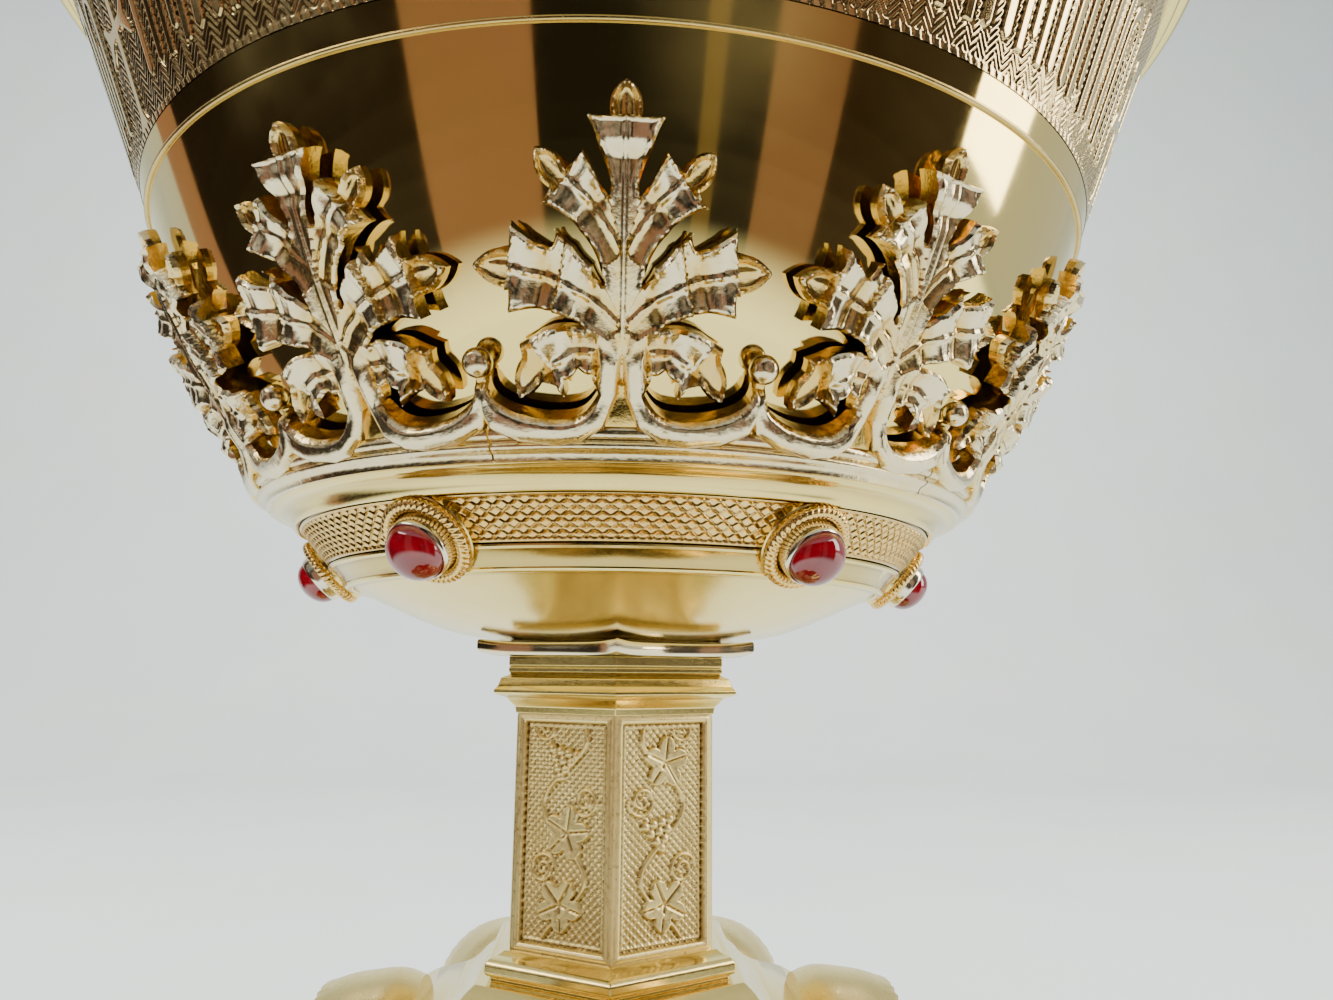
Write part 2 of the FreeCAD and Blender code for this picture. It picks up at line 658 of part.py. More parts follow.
# ---- lid ----
def make_lid_dome():
    brim = rim_radius + LID_OVERHANG
    wide = brim - 64.0
    tall = LID_HEIGHT / 44.0
    dome = spline_edge(section_points([
        (61.2 + wide, 2.6), (60.0 + wide, 8.0 * tall), (55.0 + wide, 15.5 * tall),
        (44.5, 23.5 * tall), (30.0, 30.0 * tall), (18.5, 34.6 * tall), (13.4, 39.0 * tall),
        (11.6, LID_HEIGHT),
    ], z_rim))
    inner = parallel_points(dome, -LID_WALL, 0.0, 0.93, 12)
    ceiling = inner[-1].z
    stud_hole = STUD_RADIUS + SLIP
    brim_inner = inner[0].x - 1.5
    edges = Part.makePolygon([
        Vector(brim_inner, 0, z_rim), Vector(brim, 0, z_rim),
        Vector(brim + 0.5, 0, z_rim + 0.8), Vector(brim - 0.6, 0, z_rim + 1.7),
        Vector(brim - 1.8, 0, z_rim + 2.0), dome.value(dome.FirstParameter),
    ]).Edges
    edges.append(dome.toShape())
    edges += Part.makePolygon([
        dome.value(dome.LastParameter), Vector(stud_hole, 0, z_lid_top),
        Vector(stud_hole, 0, ceiling), inner[-1],
    ]).Edges
    edges.append(spline_edge(inner[::-1]).toShape())
    edges.append(Part.makeLine(inner[0], Vector(brim_inner, 0, z_rim)))
    return turned(edges), ceiling


def make_lid_bezel():
    """Ring under the lid that drops inside the bowl's mouth."""
    wall_inside = spline_edge(parallel_points(bowl_curve, -BOWL_WALL, 0.0, 0.6, 12))
    low = z_rim - LID_BEZEL_DEPTH
    inner_rim = wall_inside.value(wall_inside.FirstParameter).x
    top_radius = inner_rim - LID_CLEARANCE
    middle_radius = radius_on(wall_inside, z_rim - 2.2) - LID_CLEARANCE
    low_radius = radius_on(wall_inside, low) - LID_CLEARANCE
    corners = [
        Vector(top_radius, 0, z_rim), Vector(middle_radius, 0, z_rim - 2.2),
        Vector(low_radius, 0, low), Vector(low_radius - LID_BEZEL_WALL, 0, low),
        Vector(middle_radius - LID_BEZEL_WALL, 0, z_rim - 2.2),
        Vector(top_radius - LID_BEZEL_WALL, 0, z_rim),
    ]
    return turned(Part.makePolygon(corners + corners[:1]).Edges)


def make_finial_collar():
    rise = FINIAL_COLLAR_HEIGHT
    profile = [(12.6, 0), (12.6, 0.18 * rise), (9.4, 0.36 * rise), (7.2, 0.72 * rise),
               (8.2, 0.86 * rise), (8.2, rise)]
    return bored(hexagonal(profile, z_lid_top), STUD_RADIUS + SLIP)


def make_finial_knop():
    rise = FINIAL_KNOP_HEIGHT
    profile = [(6.6, 0), (7.6, 0.1 * rise), (11.4, 0.36 * rise), (11.8, 0.5 * rise),
               (11.4, 0.64 * rise), (7.6, 0.9 * rise), (6.6, rise)]
    return bored(hexagonal(profile, z_finial), STUD_RADIUS + SLIP)


def make_finial_stud(ceiling):
    return cylinder(STUD_RADIUS, ceiling - 5.5, z_cross + 4.0)


def make_finial_nut(ceiling):
    nut = hexagonal([(4.6, ceiling - 3.5), (4.6, ceiling)])
    return bored(nut, STUD_RADIUS + SLIP)


def make_cross():
    """Latin cross with fishtail ends on a small stepped base, its face to the front."""
    centre = z_cross + CROSS_HEIGHT - CROSS_HALF_SPAN
    waist, flare, notch = 1.9, 5.2, 3.0
    span = CROSS_HALF_SPAN
    half = CROSS_THICKNESS / 2
    tail = [(waist, 2.6), (waist + 0.4, span - 7), (flare, span - 0.8), (flare - 0.4, span),
            (0, span - notch)]

    def arm(turn):
        right = tail
        left = [(-x, y) for x, y in tail[::-1][1:]]
        angle = math.radians(turn)
        outline = [(waist, 0)] + right + left + [(-waist, 0)]
        corners = []
        for x, y in outline:
            corners.append(Vector(x * math.cos(angle) - y * math.sin(angle), -half,
                                  centre + x * math.sin(angle) + y * math.cos(angle)))
        face = Part.Face(Part.makePolygon(corners + corners[:1]))
        return face.extrude(Vector(0, CROSS_THICKNESS, 0))

    cross = arm(0).fuse(arm(90)).fuse(arm(-90))
    shaft_height = centre - z_cross
    shaft = Part.makeBox(2 * waist + 0.6, CROSS_THICKNESS, shaft_height,
                         Vector(-waist - 0.3, -half, z_cross))
    plinth = hexagonal([(5.8, 0), (5.8, 1.4), (4.4, 2.2), (4.0, 6.0)], z_cross)
    disc_centre = Vector(0, half + 0.6, centre)
    disc = Part.makeCylinder(CROSS_DISC, CROSS_THICKNESS + 1.2, disc_centre, Vector(0, -1, 0))
    cross = cross.fuse(shaft).fuse(plinth).fuse(disc)
    seat_start = Vector(0, -half, centre)
    cross = cross.cut(Part.makeCylinder(CROSS_STONE_RADIUS + SLIP, 3, seat_start, Vector(0, -1, 0)))
    cross = cross.cut(cylinder(STUD_RADIUS + SLIP, z_cross - 1, z_cross + 4.0))
    return cross.removeSplitter(), seat_start


def make_cross_stone(seat):
    stone = make_cabochon(CROSS_STONE_RADIUS, 0, 0.8, 1.7)
    stone.Placement = FreeCAD.Placement(seat, FreeCAD.Rotation(UP, Vector(0, -1, 0)))
    return stone


# ---- build ----
save("bowl", make_bowl())
save("bowl_wire", make_bowl_wire())
save("rod_boss", make_rod_boss())
save("calyx_cup", make_calyx_cup())
save("trellis_strip", make_trellis_strip())

leaf = make_leaf(leaf_shell(LEAF_STANDOFF, LEAF_STANDOFF + LEAF_THICKNESS))
calyx_segment = make_calyx_segment(leaf)
for number in range(SEGMENTS):
    save("calyx_segment_%d" % (number + 1), around(calyx_segment, number * 360.0 / SEGMENTS))

bezel = make_bezel()
cabochon = make_cabochon(BEZEL_RADIUS - BEZEL_WALL - SLIP, BEZEL_FLOOR, BEZEL_HEIGHT - 0.3, STONE_DOME)
rope_ring = make_rope_ring()
for number in range(JEWELS):
    save("rope_ring_%d" % (number + 1), at_jewel(rope_ring, number))
    save("bezel_%d" % (number + 1), at_jewel(bezel, number))
    save("cabochon_%d" % (number + 1), at_jewel(cabochon, number))

fits_boss = BOSS_RADIUS + SLIP
plate_profile = [(plate_corner, z_plate), (plate_corner, z_cup)]
save("bowl_plate", bored(hexagonal(plate_profile), fits_boss))
save("concave_collar", bored(make_collar(), fits_boss))
save("neck_moulding", bored(make_neck(), fits_boss))
save("upper_stem", make_hex_stem(z_stem, UPPER_STEM_LENGTH, STEM_CORNER))
save("upper_stem_foot", bored(make_upper_foot()))

knop_half = make_knop_half()
knop_upper = knop_half.copy()
knop_upper.translate(Vector(0, 0, z_knop_middle))
knop_lower = knop_half.mirror(Vector(0, 0, 0), UP)
knop_lower.translate(Vector(0, 0, z_knop_middle))
save("knop_upper", knop_upper)
save("knop_lower", knop_lower)
knop_boss = make_knop_boss()
for number in range(LOBES):
    save("knop_boss_%d" % (number + 1), around(knop_boss, 30 + 60 * number))

save("lower_stem_head", bored(make_lower_head()))
save("lower_stem", make_hex_stem(z_lower_stem, LOWER_STEM_LENGTH, STEM_CORNER))
save("lower_stem_foot", bored(make_lower_foot()))
save("foot", make_foot())
save("foot_flange", make_foot_flange())
save("tie_rod", make_tie_rod())
save("clamp_washer", make_clamp_washer())
save("tie_nut", make_tie_nut())

lid_dome, lid_ceiling = make_lid_dome()
save("lid_dome", lid_dome)
save("lid_bezel", make_lid_bezel())
save("finial_collar", make_finial_collar())
save("finial_knop", make_finial_knop())
save("finial_stud", make_finial_stud(lid_ceiling))
save("finial_nut", make_finial_nut(lid_ceiling))
cross, stone_seat = make_cross()
save("cross", cross)
save("cross_stone", make_cross_stone(stone_seat))
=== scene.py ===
# %% [markdown]
# # A Gothic ciborium in silver gilt
# A ciborium is a covered cup on a tall foot. This one is raised from silver sheet, gilded, and dressed
# with castings: a crest of twelve leaves, six red cabochons, a chased six-sided stem and a bossed knop.
# The CAD frame gives the size and place of every piece, so the frame is loaded first and left alone.

# %% Load the fixed frame
import json
import math

import bmesh
import bpy
import numpy as np
from mathutils import Matrix, Vector
from mathutils.geometry import delaunay_2d_cdt, tessellate_polygon

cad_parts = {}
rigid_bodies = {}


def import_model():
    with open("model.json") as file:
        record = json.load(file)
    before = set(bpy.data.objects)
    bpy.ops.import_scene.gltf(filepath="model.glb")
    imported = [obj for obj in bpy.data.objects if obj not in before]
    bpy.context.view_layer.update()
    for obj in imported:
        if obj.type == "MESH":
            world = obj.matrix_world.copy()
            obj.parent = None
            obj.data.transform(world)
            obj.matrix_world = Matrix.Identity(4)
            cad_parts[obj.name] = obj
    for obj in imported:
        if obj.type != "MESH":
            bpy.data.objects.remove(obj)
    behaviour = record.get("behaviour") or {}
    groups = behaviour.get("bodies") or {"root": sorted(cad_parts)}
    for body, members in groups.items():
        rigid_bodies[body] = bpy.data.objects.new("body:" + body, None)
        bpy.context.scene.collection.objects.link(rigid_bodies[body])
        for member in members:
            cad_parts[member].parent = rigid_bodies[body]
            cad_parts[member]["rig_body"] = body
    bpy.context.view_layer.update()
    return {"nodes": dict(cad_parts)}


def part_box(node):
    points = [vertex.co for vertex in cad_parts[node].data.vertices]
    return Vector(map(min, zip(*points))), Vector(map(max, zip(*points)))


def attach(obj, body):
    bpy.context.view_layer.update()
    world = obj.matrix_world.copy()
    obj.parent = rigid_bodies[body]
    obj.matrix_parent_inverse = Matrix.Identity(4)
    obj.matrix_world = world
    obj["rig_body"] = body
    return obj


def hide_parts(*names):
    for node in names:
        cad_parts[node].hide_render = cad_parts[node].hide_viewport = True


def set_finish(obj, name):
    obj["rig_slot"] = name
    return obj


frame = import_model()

MM = 0.001

# %% [markdown]
# ## Reading sizes from the frame
# A goldsmith marks every height from one scribed line. Here that line is the wire soldered round the
# bowl, so all heights on the cup are written in millimetres above or below it. Other levels are read
# from the boxes of the CAD nodes, which keeps every new piece exactly where the frame has it.

# %% Levels
def low(node):
    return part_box(node)[0].z / MM


def high(node):
    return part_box(node)[1].z / MM


def reach(node):
    """Largest distance of a node from the axis along X or Y, in millimetres."""
    lowest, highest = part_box(node)
    return max(abs(lowest.x), abs(highest.x), abs(lowest.y), abs(highest.y)) / MM


LINE = (low("bowl_wire") + high("bowl_wire")) / 2
RIM = high("bowl")
CUP_BASE = low("calyx_cup")
STEM_CORNER = reach("upper_stem")
LEAVES, SIDES = 12, 6
print("line at", round(LINE, 2), "rim at", round(RIM, 2), "stem corner", round(STEM_CORNER, 2))

# %% [markdown]
# ## Smooth curves
# A raised bowl has no corners: hammer and burnisher leave a curve whose bend changes gently. A mirror
# finish shows every kink, so outlines are natural cubic splines, which keep the bend itself continuous.
# Arcs joined end to end would be simpler, but a reflection breaks where one arc meets the next.

# %% Curve helpers
def smooth_path(points, count):
    """Points along a natural cubic spline through a few given points."""
    p = np.array(points, float)
    t = np.r_[0, np.cumsum(np.linalg.norm(np.diff(p, axis=0), axis=1))]
    h = np.diff(t)
    size = len(p)
    matrix = np.eye(size)
    right = np.zeros_like(p)
    for i in range(1, size - 1):
        matrix[i, i - 1:i + 2] = h[i - 1], 2 * (h[i - 1] + h[i]), h[i]
        right[i] = 6 * ((p[i + 1] - p[i]) / h[i] - (p[i] - p[i - 1]) / h[i - 1])
    bend = np.linalg.solve(matrix, right)
    q = np.linspace(0, t[-1], count)
    k = np.clip(np.searchsorted(t, q, side="right") - 1, 0, size - 2)
    after, before, step = (q - t[k])[:, None], (t[k + 1] - q)[:, None], h[k][:, None]
    cubic = (bend[k] * before ** 3 + bend[k + 1] * after ** 3) / (6 * step)
    start = (p[k] / step - bend[k] * step / 6) * before
    return cubic + start + (p[k + 1] / step - bend[k + 1] * step / 6) * after


def beside(path, distance):
    """A path of (radius, height) points moved sideways, outwards for a positive distance."""
    tangent = np.gradient(path, axis=0)
    normal = np.stack([-tangent[:, 1], tangent[:, 0]], axis=1)
    return path + distance * normal / np.linalg.norm(normal, axis=1)[:, None]


def on_axis(radius, degrees, height):
    """Point at an angle from the front (-Y) towards +X."""
    angle = np.radians(degrees)
    return np.stack(np.broadcast_arrays(radius * np.sin(angle), -radius * np.cos(angle), height), -1)


# Outside of the bowl: radius and height from the line, from the rim down to the seat.
BOWL_OUTLINE = [(61.6, 28.6), (57.85, 20), (53.85, 10), (50, 0), (45.8, -10), (43.1, -15), (39.8, -20),
                (35.6, -25), (29.4, -30.8), (21.5, -35.3), (13.0, -38.2), (8.0, -38.8)]
bowl_path = smooth_path(BOWL_OUTLINE, 400)


def bowl_radius(height):
    return np.interp(height, bowl_path[::-1, 1], bowl_path[::-1, 0])


print("bowl radius at the line", round(float(bowl_radius(0)), 2))

# %% [markdown]
# ## From points to pieces
# Three ways of making metal give three kinds of mesh. Spun and raised work is a lathe: one outline swept
# round the axis. Mitred six-sided mouldings are a stack of hexagons. Cast and chased relief is a height
# field, a fine sheet whose points are lifted by a formula. Each becomes a piece that rides on its body.

# %% Mesh helpers
def make_piece(name, points, faces, material, nodes=(), body="root", slot="satin_gilt",
               crease=35.0, bevel=0.0, tint=None, clean=True):
    """A mesh from points in millimetres. Edges sharper than the crease angle stay crisp."""
    mesh = bpy.data.meshes.new(name)
    mesh.from_pydata((np.asarray(points) * MM).tolist(), [], faces)
    if tint is not None:
        layer = mesh.attributes.new("wear", "FLOAT", "POINT")
        layer.data.foreach_set("value", np.asarray(tint, np.float32))
    if clean:
        grid = bmesh.new()
        grid.from_mesh(mesh)
        bmesh.ops.remove_doubles(grid, verts=grid.verts, dist=1e-7)
        bmesh.ops.dissolve_degenerate(grid, edges=grid.edges, dist=1e-7)
        bmesh.ops.recalc_face_normals(grid, faces=grid.faces)
        grid.to_mesh(mesh)
        grid.free()
    mesh.shade_smooth()
    mesh.set_sharp_from_angle(angle=math.radians(crease))
    mesh.materials.append(material)
    piece = bpy.data.objects.new(name, mesh)
    bpy.context.scene.collection.objects.link(piece)
    if bevel:
        edge = piece.modifiers.new("worn_edge", "BEVEL")
        edge.width, edge.segments = bevel * MM, 2
        edge.limit_method, edge.angle_limit = "ANGLE", math.radians(25)
        edge.harden_normals = True
    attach(piece, body)
    if nodes:
        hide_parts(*nodes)
    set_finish(piece, slot)
    return piece


def copy_piece(first, name, turn, nodes=()):
    """The same mesh again, turned about the vessel's axis."""
    piece = bpy.data.objects.new(name, first.data)
    bpy.context.scene.collection.objects.link(piece)
    for old in first.modifiers:
        new = piece.modifiers.new(old.name, old.type)
        for key in ("width", "segments", "limit_method", "angle_limit", "harden_normals"):
            setattr(new, key, getattr(old, key))
    piece.matrix_world = Matrix.Rotation(math.radians(turn), 4, "Z") @ first.matrix_world
    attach(piece, first["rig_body"])
    if nodes:
        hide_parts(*nodes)
    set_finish(piece, first["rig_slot"])
    return piece


def grid_faces(rows, columns, wrap=False):
    """Quads of a grid of points stored row by row."""
    across = columns if wrap else columns - 1
    i, j = np.meshgrid(np.arange(rows - 1), np.arange(across), indexing="ij")
    j2 = (j + 1) % columns
    quads = np.stack([i * columns + j, i * columns + j2, (i + 1) * columns + j2, (i + 1) * columns + j], -1)
    return quads.reshape(-1, 4).tolist()


def lathe(profile, segments=192, closed=False):
    """Sweep (radius, height) points round the axis."""
    profile = np.asarray(profile, float)
    if closed:
        profile = np.vstack([profile, profile[:1]])
    turns = np.arange(segments) * 360 / segments
    points = on_axis(profile[:, :1], turns[None, :], profile[:, 1:]).reshape(-1, 3)
    return points, grid_faces(len(profile), segments, wrap=True)


def lobed_ring(cusp, lobe, count):
    """Plan of six equal arcs from cusp to cusp, as angles and radii."""
    half = math.radians(180 / SIDES)
    middle_x, middle_y = cusp * math.sin(half), cusp * math.cos(half)
    rise = lobe - middle_y
    if abs(rise) < 1e-3:
        rise = 1e-3
    arc_radius = (middle_x ** 2 + rise ** 2) / (2 * rise)
    centre = lobe - arc_radius
    sweep = math.atan2(middle_x, middle_y - centre) if rise > 0 else math.atan2(middle_x, centre - middle_y)
    turn = np.linspace(-sweep, sweep, count, endpoint=False)
    sign = 1 if rise > 0 else -1
    x = abs(arc_radius) * np.sin(turn)
    y = centre + sign * abs(arc_radius) * np.cos(turn)
    angles = np.degrees(np.arctan2(x, y))
    radii = np.hypot(x, y)
    every = [angles + 30 + 60 * side for side in range(SIDES)]
    return np.concatenate(every), np.tile(radii, SIDES)


def lobed_stack(sections, count=24):
    """Skin over lobed plans given as (cusp, lobe, height)."""
    rows = []
    for cusp, lobe, height in sections:
        angles, radii = lobed_ring(cusp, lobe, count)
        rows.append(on_axis(radii, angles, height))
    return np.concatenate(rows), grid_faces(len(sections), count * SIDES, wrap=True)


def hexagon_stack(profile):
    """Six-sided moulding from (corner radius, height) pairs, with a corner at the front."""
    turns = np.arange(SIDES) * 60.0
    points = np.concatenate([on_axis(r, turns, z) for r, z in profile])
    return points, grid_faces(len(profile), SIDES, wrap=True)


print("mesh helpers ready")

# %% [markdown]
# ## Colours and nodes
# Paint charts and metal swatches are quoted as sRGB hex, the numbers a screen shows. Light adds up in
# linear values, so one function turns each hex into linear before it reaches a shader. One more small
# function adds a node, sets it and wires it, which keeps every material below readable as a recipe.

# %% Colour and node helpers
def linear(colour):
    values = [int(colour[i:i + 2], 16) / 255 for i in (1, 3, 5)]
    return (*[v / 12.92 if v <= 0.04045 else ((v + 0.055) / 1.055) ** 2.4 for v in values], 1.0)


def add_node(tree, kind, settings=None, inputs=None):
    """Add a node, set its properties, and give its inputs values or the outputs of other nodes."""
    node = tree.nodes.new(kind)
    for key, value in (settings or {}).items():
        setattr(node, key, value)
    for key, value in (inputs or {}).items():
        if isinstance(value, bpy.types.NodeSocket):
            tree.links.new(value, node.inputs[key])
        else:
            node.inputs[key].default_value = value
    return node


def new_material(name):
    material = bpy.data.materials.new(name)
    material.use_nodes = True
    tree = material.node_tree
    return material, tree, tree.nodes["Principled BSDF"]


def per_metre(millimetres):
    """Noise scale whose blotches are about this wide, in a scene measured in metres."""
    return 1.0 / (millimetres * MM)


# %% [markdown]
# ## Gilding
# Silver gilt is silver with a skin of gold a few microns thick. Its colour is paler than solid gold, and
# the finish depends on the last tool. A burnisher gives a mirror, a polishing mop a soft gloss, and
# matting punches a satin ground. All are full metals, so only base colour, roughness and bump differ.

# %% Mirror gilding, mopped and burnished
# Blotches 25 mm wide drift the colour, polishing lines 0.25 mm apart ring the bowl, as it was polished on
# a turning mandrel, and finger smears 12 mm wide dull it. Real lines are finer and would not show.
def mirror_gilding():
    material, tree, shader = new_material("silver_gilt_burnished")
    place = add_node(tree, "ShaderNodeTexCoord").outputs["Object"]
    drift = add_node(tree, "ShaderNodeTexNoise", inputs={"Vector": place, "Scale": per_metre(25),
                                                         "Detail": 3.0})
    colour = add_node(tree, "ShaderNodeMix", {"data_type": "RGBA"}, {
        "Factor": drift.outputs["Fac"], "A": linear("#F0DB8E"), "B": linear("#E5C977")})
    smear = add_node(tree, "ShaderNodeTexNoise", inputs={"Vector": place, "Scale": per_metre(12),
                                                         "Detail": 6.0,
                                                         "Roughness": 0.65})
    gloss = add_node(tree, "ShaderNodeMapRange", inputs={
        "Value": smear.outputs["Fac"], "From Min": 0.35, "From Max": 0.75, "To Min": 0.035, "To Max": 0.11})
    flat = add_node(tree, "ShaderNodeMapping", inputs={"Vector": place, "Scale": (0.02, 0.02, 1.0)})
    lines = add_node(tree, "ShaderNodeTexNoise", inputs={
        "Vector": flat.outputs["Vector"], "Scale": per_metre(0.25), "Detail": 2.0})
    bump = add_node(tree, "ShaderNodeBump", inputs={
        "Strength": 0.02, "Distance": 0.02 * MM, "Height": lines.outputs["Fac"]})
    tree.links.new(colour.outputs["Result"], shader.inputs["Base Color"])
    tree.links.new(gloss.outputs["Result"], shader.inputs["Roughness"])
    tree.links.new(bump.outputs["Normal"], shader.inputs["Normal"])
    shader.inputs["Metallic"].default_value = 1.0
    return material


MIRROR_GILT = mirror_gilding()
print("made", MIRROR_GILT.name)

# %% [markdown]
# ## Satin and chased gilding
# Cast mouldings are filed, gilded and then only brushed, so they keep a soft satin gloss. Chased work is
# left matt in its hollows and burnished on its ridges. Geometry's pointiness finds ridges and hollows on
# a dense mesh, so the same recipe darkens the cuts without any painting.

# %% Satin gilding, brushed after casting; chased gilding, matt ground with burnished ridges
# The eye sees a soft broad highlight, faint brush marks 0.4 mm apart, brown tarnish in the corners.
def brushed_gilding(name, light, deep, dirt, roughness, cavity):
    material, tree, shader = new_material(name)
    place = add_node(tree, "ShaderNodeTexCoord").outputs["Object"]
    drift = add_node(tree, "ShaderNodeTexNoise", inputs={"Vector": place, "Scale": per_metre(6),
                                                         "Detail": 5.0})
    colour = add_node(tree, "ShaderNodeMix", {"data_type": "RGBA"}, {
        "Factor": drift.outputs["Fac"], "A": linear(light), "B": linear(deep)})
    form = add_node(tree, "ShaderNodeNewGeometry").outputs["Pointiness"]
    hollow = add_node(tree, "ShaderNodeMapRange", inputs={
        "Value": form, "From Min": 0.5 - cavity, "From Max": 0.5, "To Min": 0.8, "To Max": 0.0})
    soiled = add_node(tree, "ShaderNodeMix", {"data_type": "RGBA"}, {
        "Factor": hollow.outputs["Result"], "A": colour.outputs["Result"], "B": linear(dirt)})
    grain = add_node(tree, "ShaderNodeTexNoise", inputs={
        "Vector": place, "Scale": per_metre(0.4), "Detail": 4.0, "Roughness": 0.7})
    gloss = add_node(tree, "ShaderNodeMapRange", inputs={
        "Value": grain.outputs["Fac"], "From Min": 0.3, "From Max": 0.7,
        "To Min": roughness * 0.75, "To Max": roughness * 1.3})
    bump = add_node(tree, "ShaderNodeBump", inputs={
        "Strength": 0.25, "Distance": 0.02 * MM, "Height": grain.outputs["Fac"]})
    tree.links.new(soiled.outputs["Result"], shader.inputs["Base Color"])
    tree.links.new(gloss.outputs["Result"], shader.inputs["Roughness"])
    tree.links.new(bump.outputs["Normal"], shader.inputs["Normal"])
    shader.inputs["Metallic"].default_value = 1.0
    return material


SATIN_GILT = brushed_gilding("silver_gilt_brushed", "#EFDA8E", "#E0C472", "#6A4E22", 0.16, 0.05)
CHASED_GILT = brushed_gilding("silver_gilt_chased", "#EBD998", "#DABD74", "#5A3A18", 0.32, 0.06)
print("made", SATIN_GILT.name, "and", CHASED_GILT.name)

# %% [markdown]
# ## Parcel gilding on the leaves
# The cresting was cast in silver and gilded, and then the high faces were burnished. Handling has thinned
# the gold there, so silver shows through while the sides and hollows keep a deep orange gold. Each
# leaf mesh carries a number per point, high on worn faces, and the shader mixes the two metals by it.

# %% Cast silver with worn gilding, burnished on the faces
def parcel_gilding():
    material, tree, shader = new_material("cast_silver_worn_gilding")
    place = add_node(tree, "ShaderNodeTexCoord").outputs["Object"]
    worn = add_node(tree, "ShaderNodeAttribute", {"attribute_name": "wear"}).outputs["Fac"]
    patch = add_node(tree, "ShaderNodeTexNoise", inputs={
        "Vector": place, "Scale": per_metre(1.6), "Detail": 6.0, "Roughness": 0.6})
    uneven = add_node(tree, "ShaderNodeMath", {"operation": "MULTIPLY_ADD"}, {
        0: patch.outputs["Fac"], 1: 0.7, 2: worn})
    share = add_node(tree, "ShaderNodeMapRange", {"interpolation_type": "SMOOTHSTEP"}, {
        "Value": uneven.outputs["Value"], "From Min": 0.55, "From Max": 1.15})
    gold = add_node(tree, "ShaderNodeMix", {"data_type": "RGBA"}, {
        "Factor": patch.outputs["Fac"], "A": linear("#E6C674"), "B": linear("#C8A24C")})
    colour = add_node(tree, "ShaderNodeMix", {"data_type": "RGBA"}, {
        "Factor": share.outputs["Result"], "A": gold.outputs["Result"], "B": linear("#E4D5AE")})
    grain = add_node(tree, "ShaderNodeTexNoise", inputs={
        "Vector": place, "Scale": per_metre(0.35), "Detail": 5.0, "Roughness": 0.6})
    gloss = add_node(tree, "ShaderNodeMapRange", inputs={
        "Value": grain.outputs["Fac"], "From Min": 0.3, "From Max": 0.7, "To Min": 0.10, "To Max": 0.22})
    dents = add_node(tree, "ShaderNodeTexNoise", inputs={
        "Vector": place, "Scale": per_metre(1.1), "Detail": 3.0, "Roughness": 0.5})
    uneven_cast = add_node(tree, "ShaderNodeMath", {"operation": "MULTIPLY_ADD"}, {
        0: dents.outputs["Fac"], 1: 2.6, 2: grain.outputs["Fac"]})
    bump = add_node(tree, "ShaderNodeBump", inputs={
        "Strength": 0.5, "Distance": 0.045 * MM, "Height": uneven_cast.outputs["Value"]})
    tree.links.new(colour.outputs["Result"], shader.inputs["Base Color"])
    tree.links.new(gloss.outputs["Result"], shader.inputs["Roughness"])
    tree.links.new(bump.outputs["Normal"], shader.inputs["Normal"])
    shader.inputs["Metallic"].default_value = 1.0
    return material


PARCEL_GILT = parcel_gilding()
print("made", PARCEL_GILT.name)

# %% [markdown]
# ## Garnet and plain brass
# The cabochons are garnet, domed and polished but not faceted, so light goes in, turns deep red and comes
# back as a soft glow. Garnet's IOR is about 1.76. A foiled setting behind it returns more of that light,
# so part of the shader transmits and part scatters. Rod, nuts and washer are brass, turned but not gilded.

# %% Garnet cut as a cabochon, foiled behind
def garnet():
    material, tree, shader = new_material("garnet_cabochon")
    place = add_node(tree, "ShaderNodeTexCoord").outputs["Object"]
    cloud = add_node(tree, "ShaderNodeTexNoise", inputs={"Vector": place, "Scale": per_metre(1.5),
                                                         "Detail": 4.0})
    colour = add_node(tree, "ShaderNodeMix", {"data_type": "RGBA"}, {
        "Factor": cloud.outputs["Fac"], "A": linear("#98061C"), "B": linear("#4E020E")})
    scuff = add_node(tree, "ShaderNodeTexNoise", inputs={"Vector": place, "Scale": per_metre(0.6),
                                                         "Detail": 5.0})
    gloss = add_node(tree, "ShaderNodeMapRange", inputs={
        "Value": scuff.outputs["Fac"], "From Min": 0.4, "From Max": 0.8, "To Min": 0.02, "To Max": 0.07})
    tree.links.new(colour.outputs["Result"], shader.inputs["Base Color"])
    tree.links.new(gloss.outputs["Result"], shader.inputs["Roughness"])
    shader.inputs["IOR"].default_value = 1.76
    shader.inputs["Transmission Weight"].default_value = 0.4
    shader.inputs["Coat Weight"].default_value = 0.15
    shader.inputs["Coat Roughness"].default_value = 0.03
    return material


GARNET = garnet()
BRASS = brushed_gilding("brass_turned", "#D8B468", "#B98E48", "#4A3418", 0.28, 0.05)
print("made", GARNET.name, "and", BRASS.name)

# %% [markdown]
# ## The raised bowl
# The bowl is hammered up from a disc of silver, planished, gilded and burnished to a mirror. Its CAD solid
# is right in size, but its flat facets would break a mirror's reflections. So it is turned again here
# as one fine skin: the same outline, a rolled rim, and the inside 1.2 mm away.

# %% Bowl
BOWL_WALL, RIM_ROLL = 1.2, 0.9
BAND_LOW, BAND_HIGH, BAND_SINK = 2.3, 24.0, 0.25


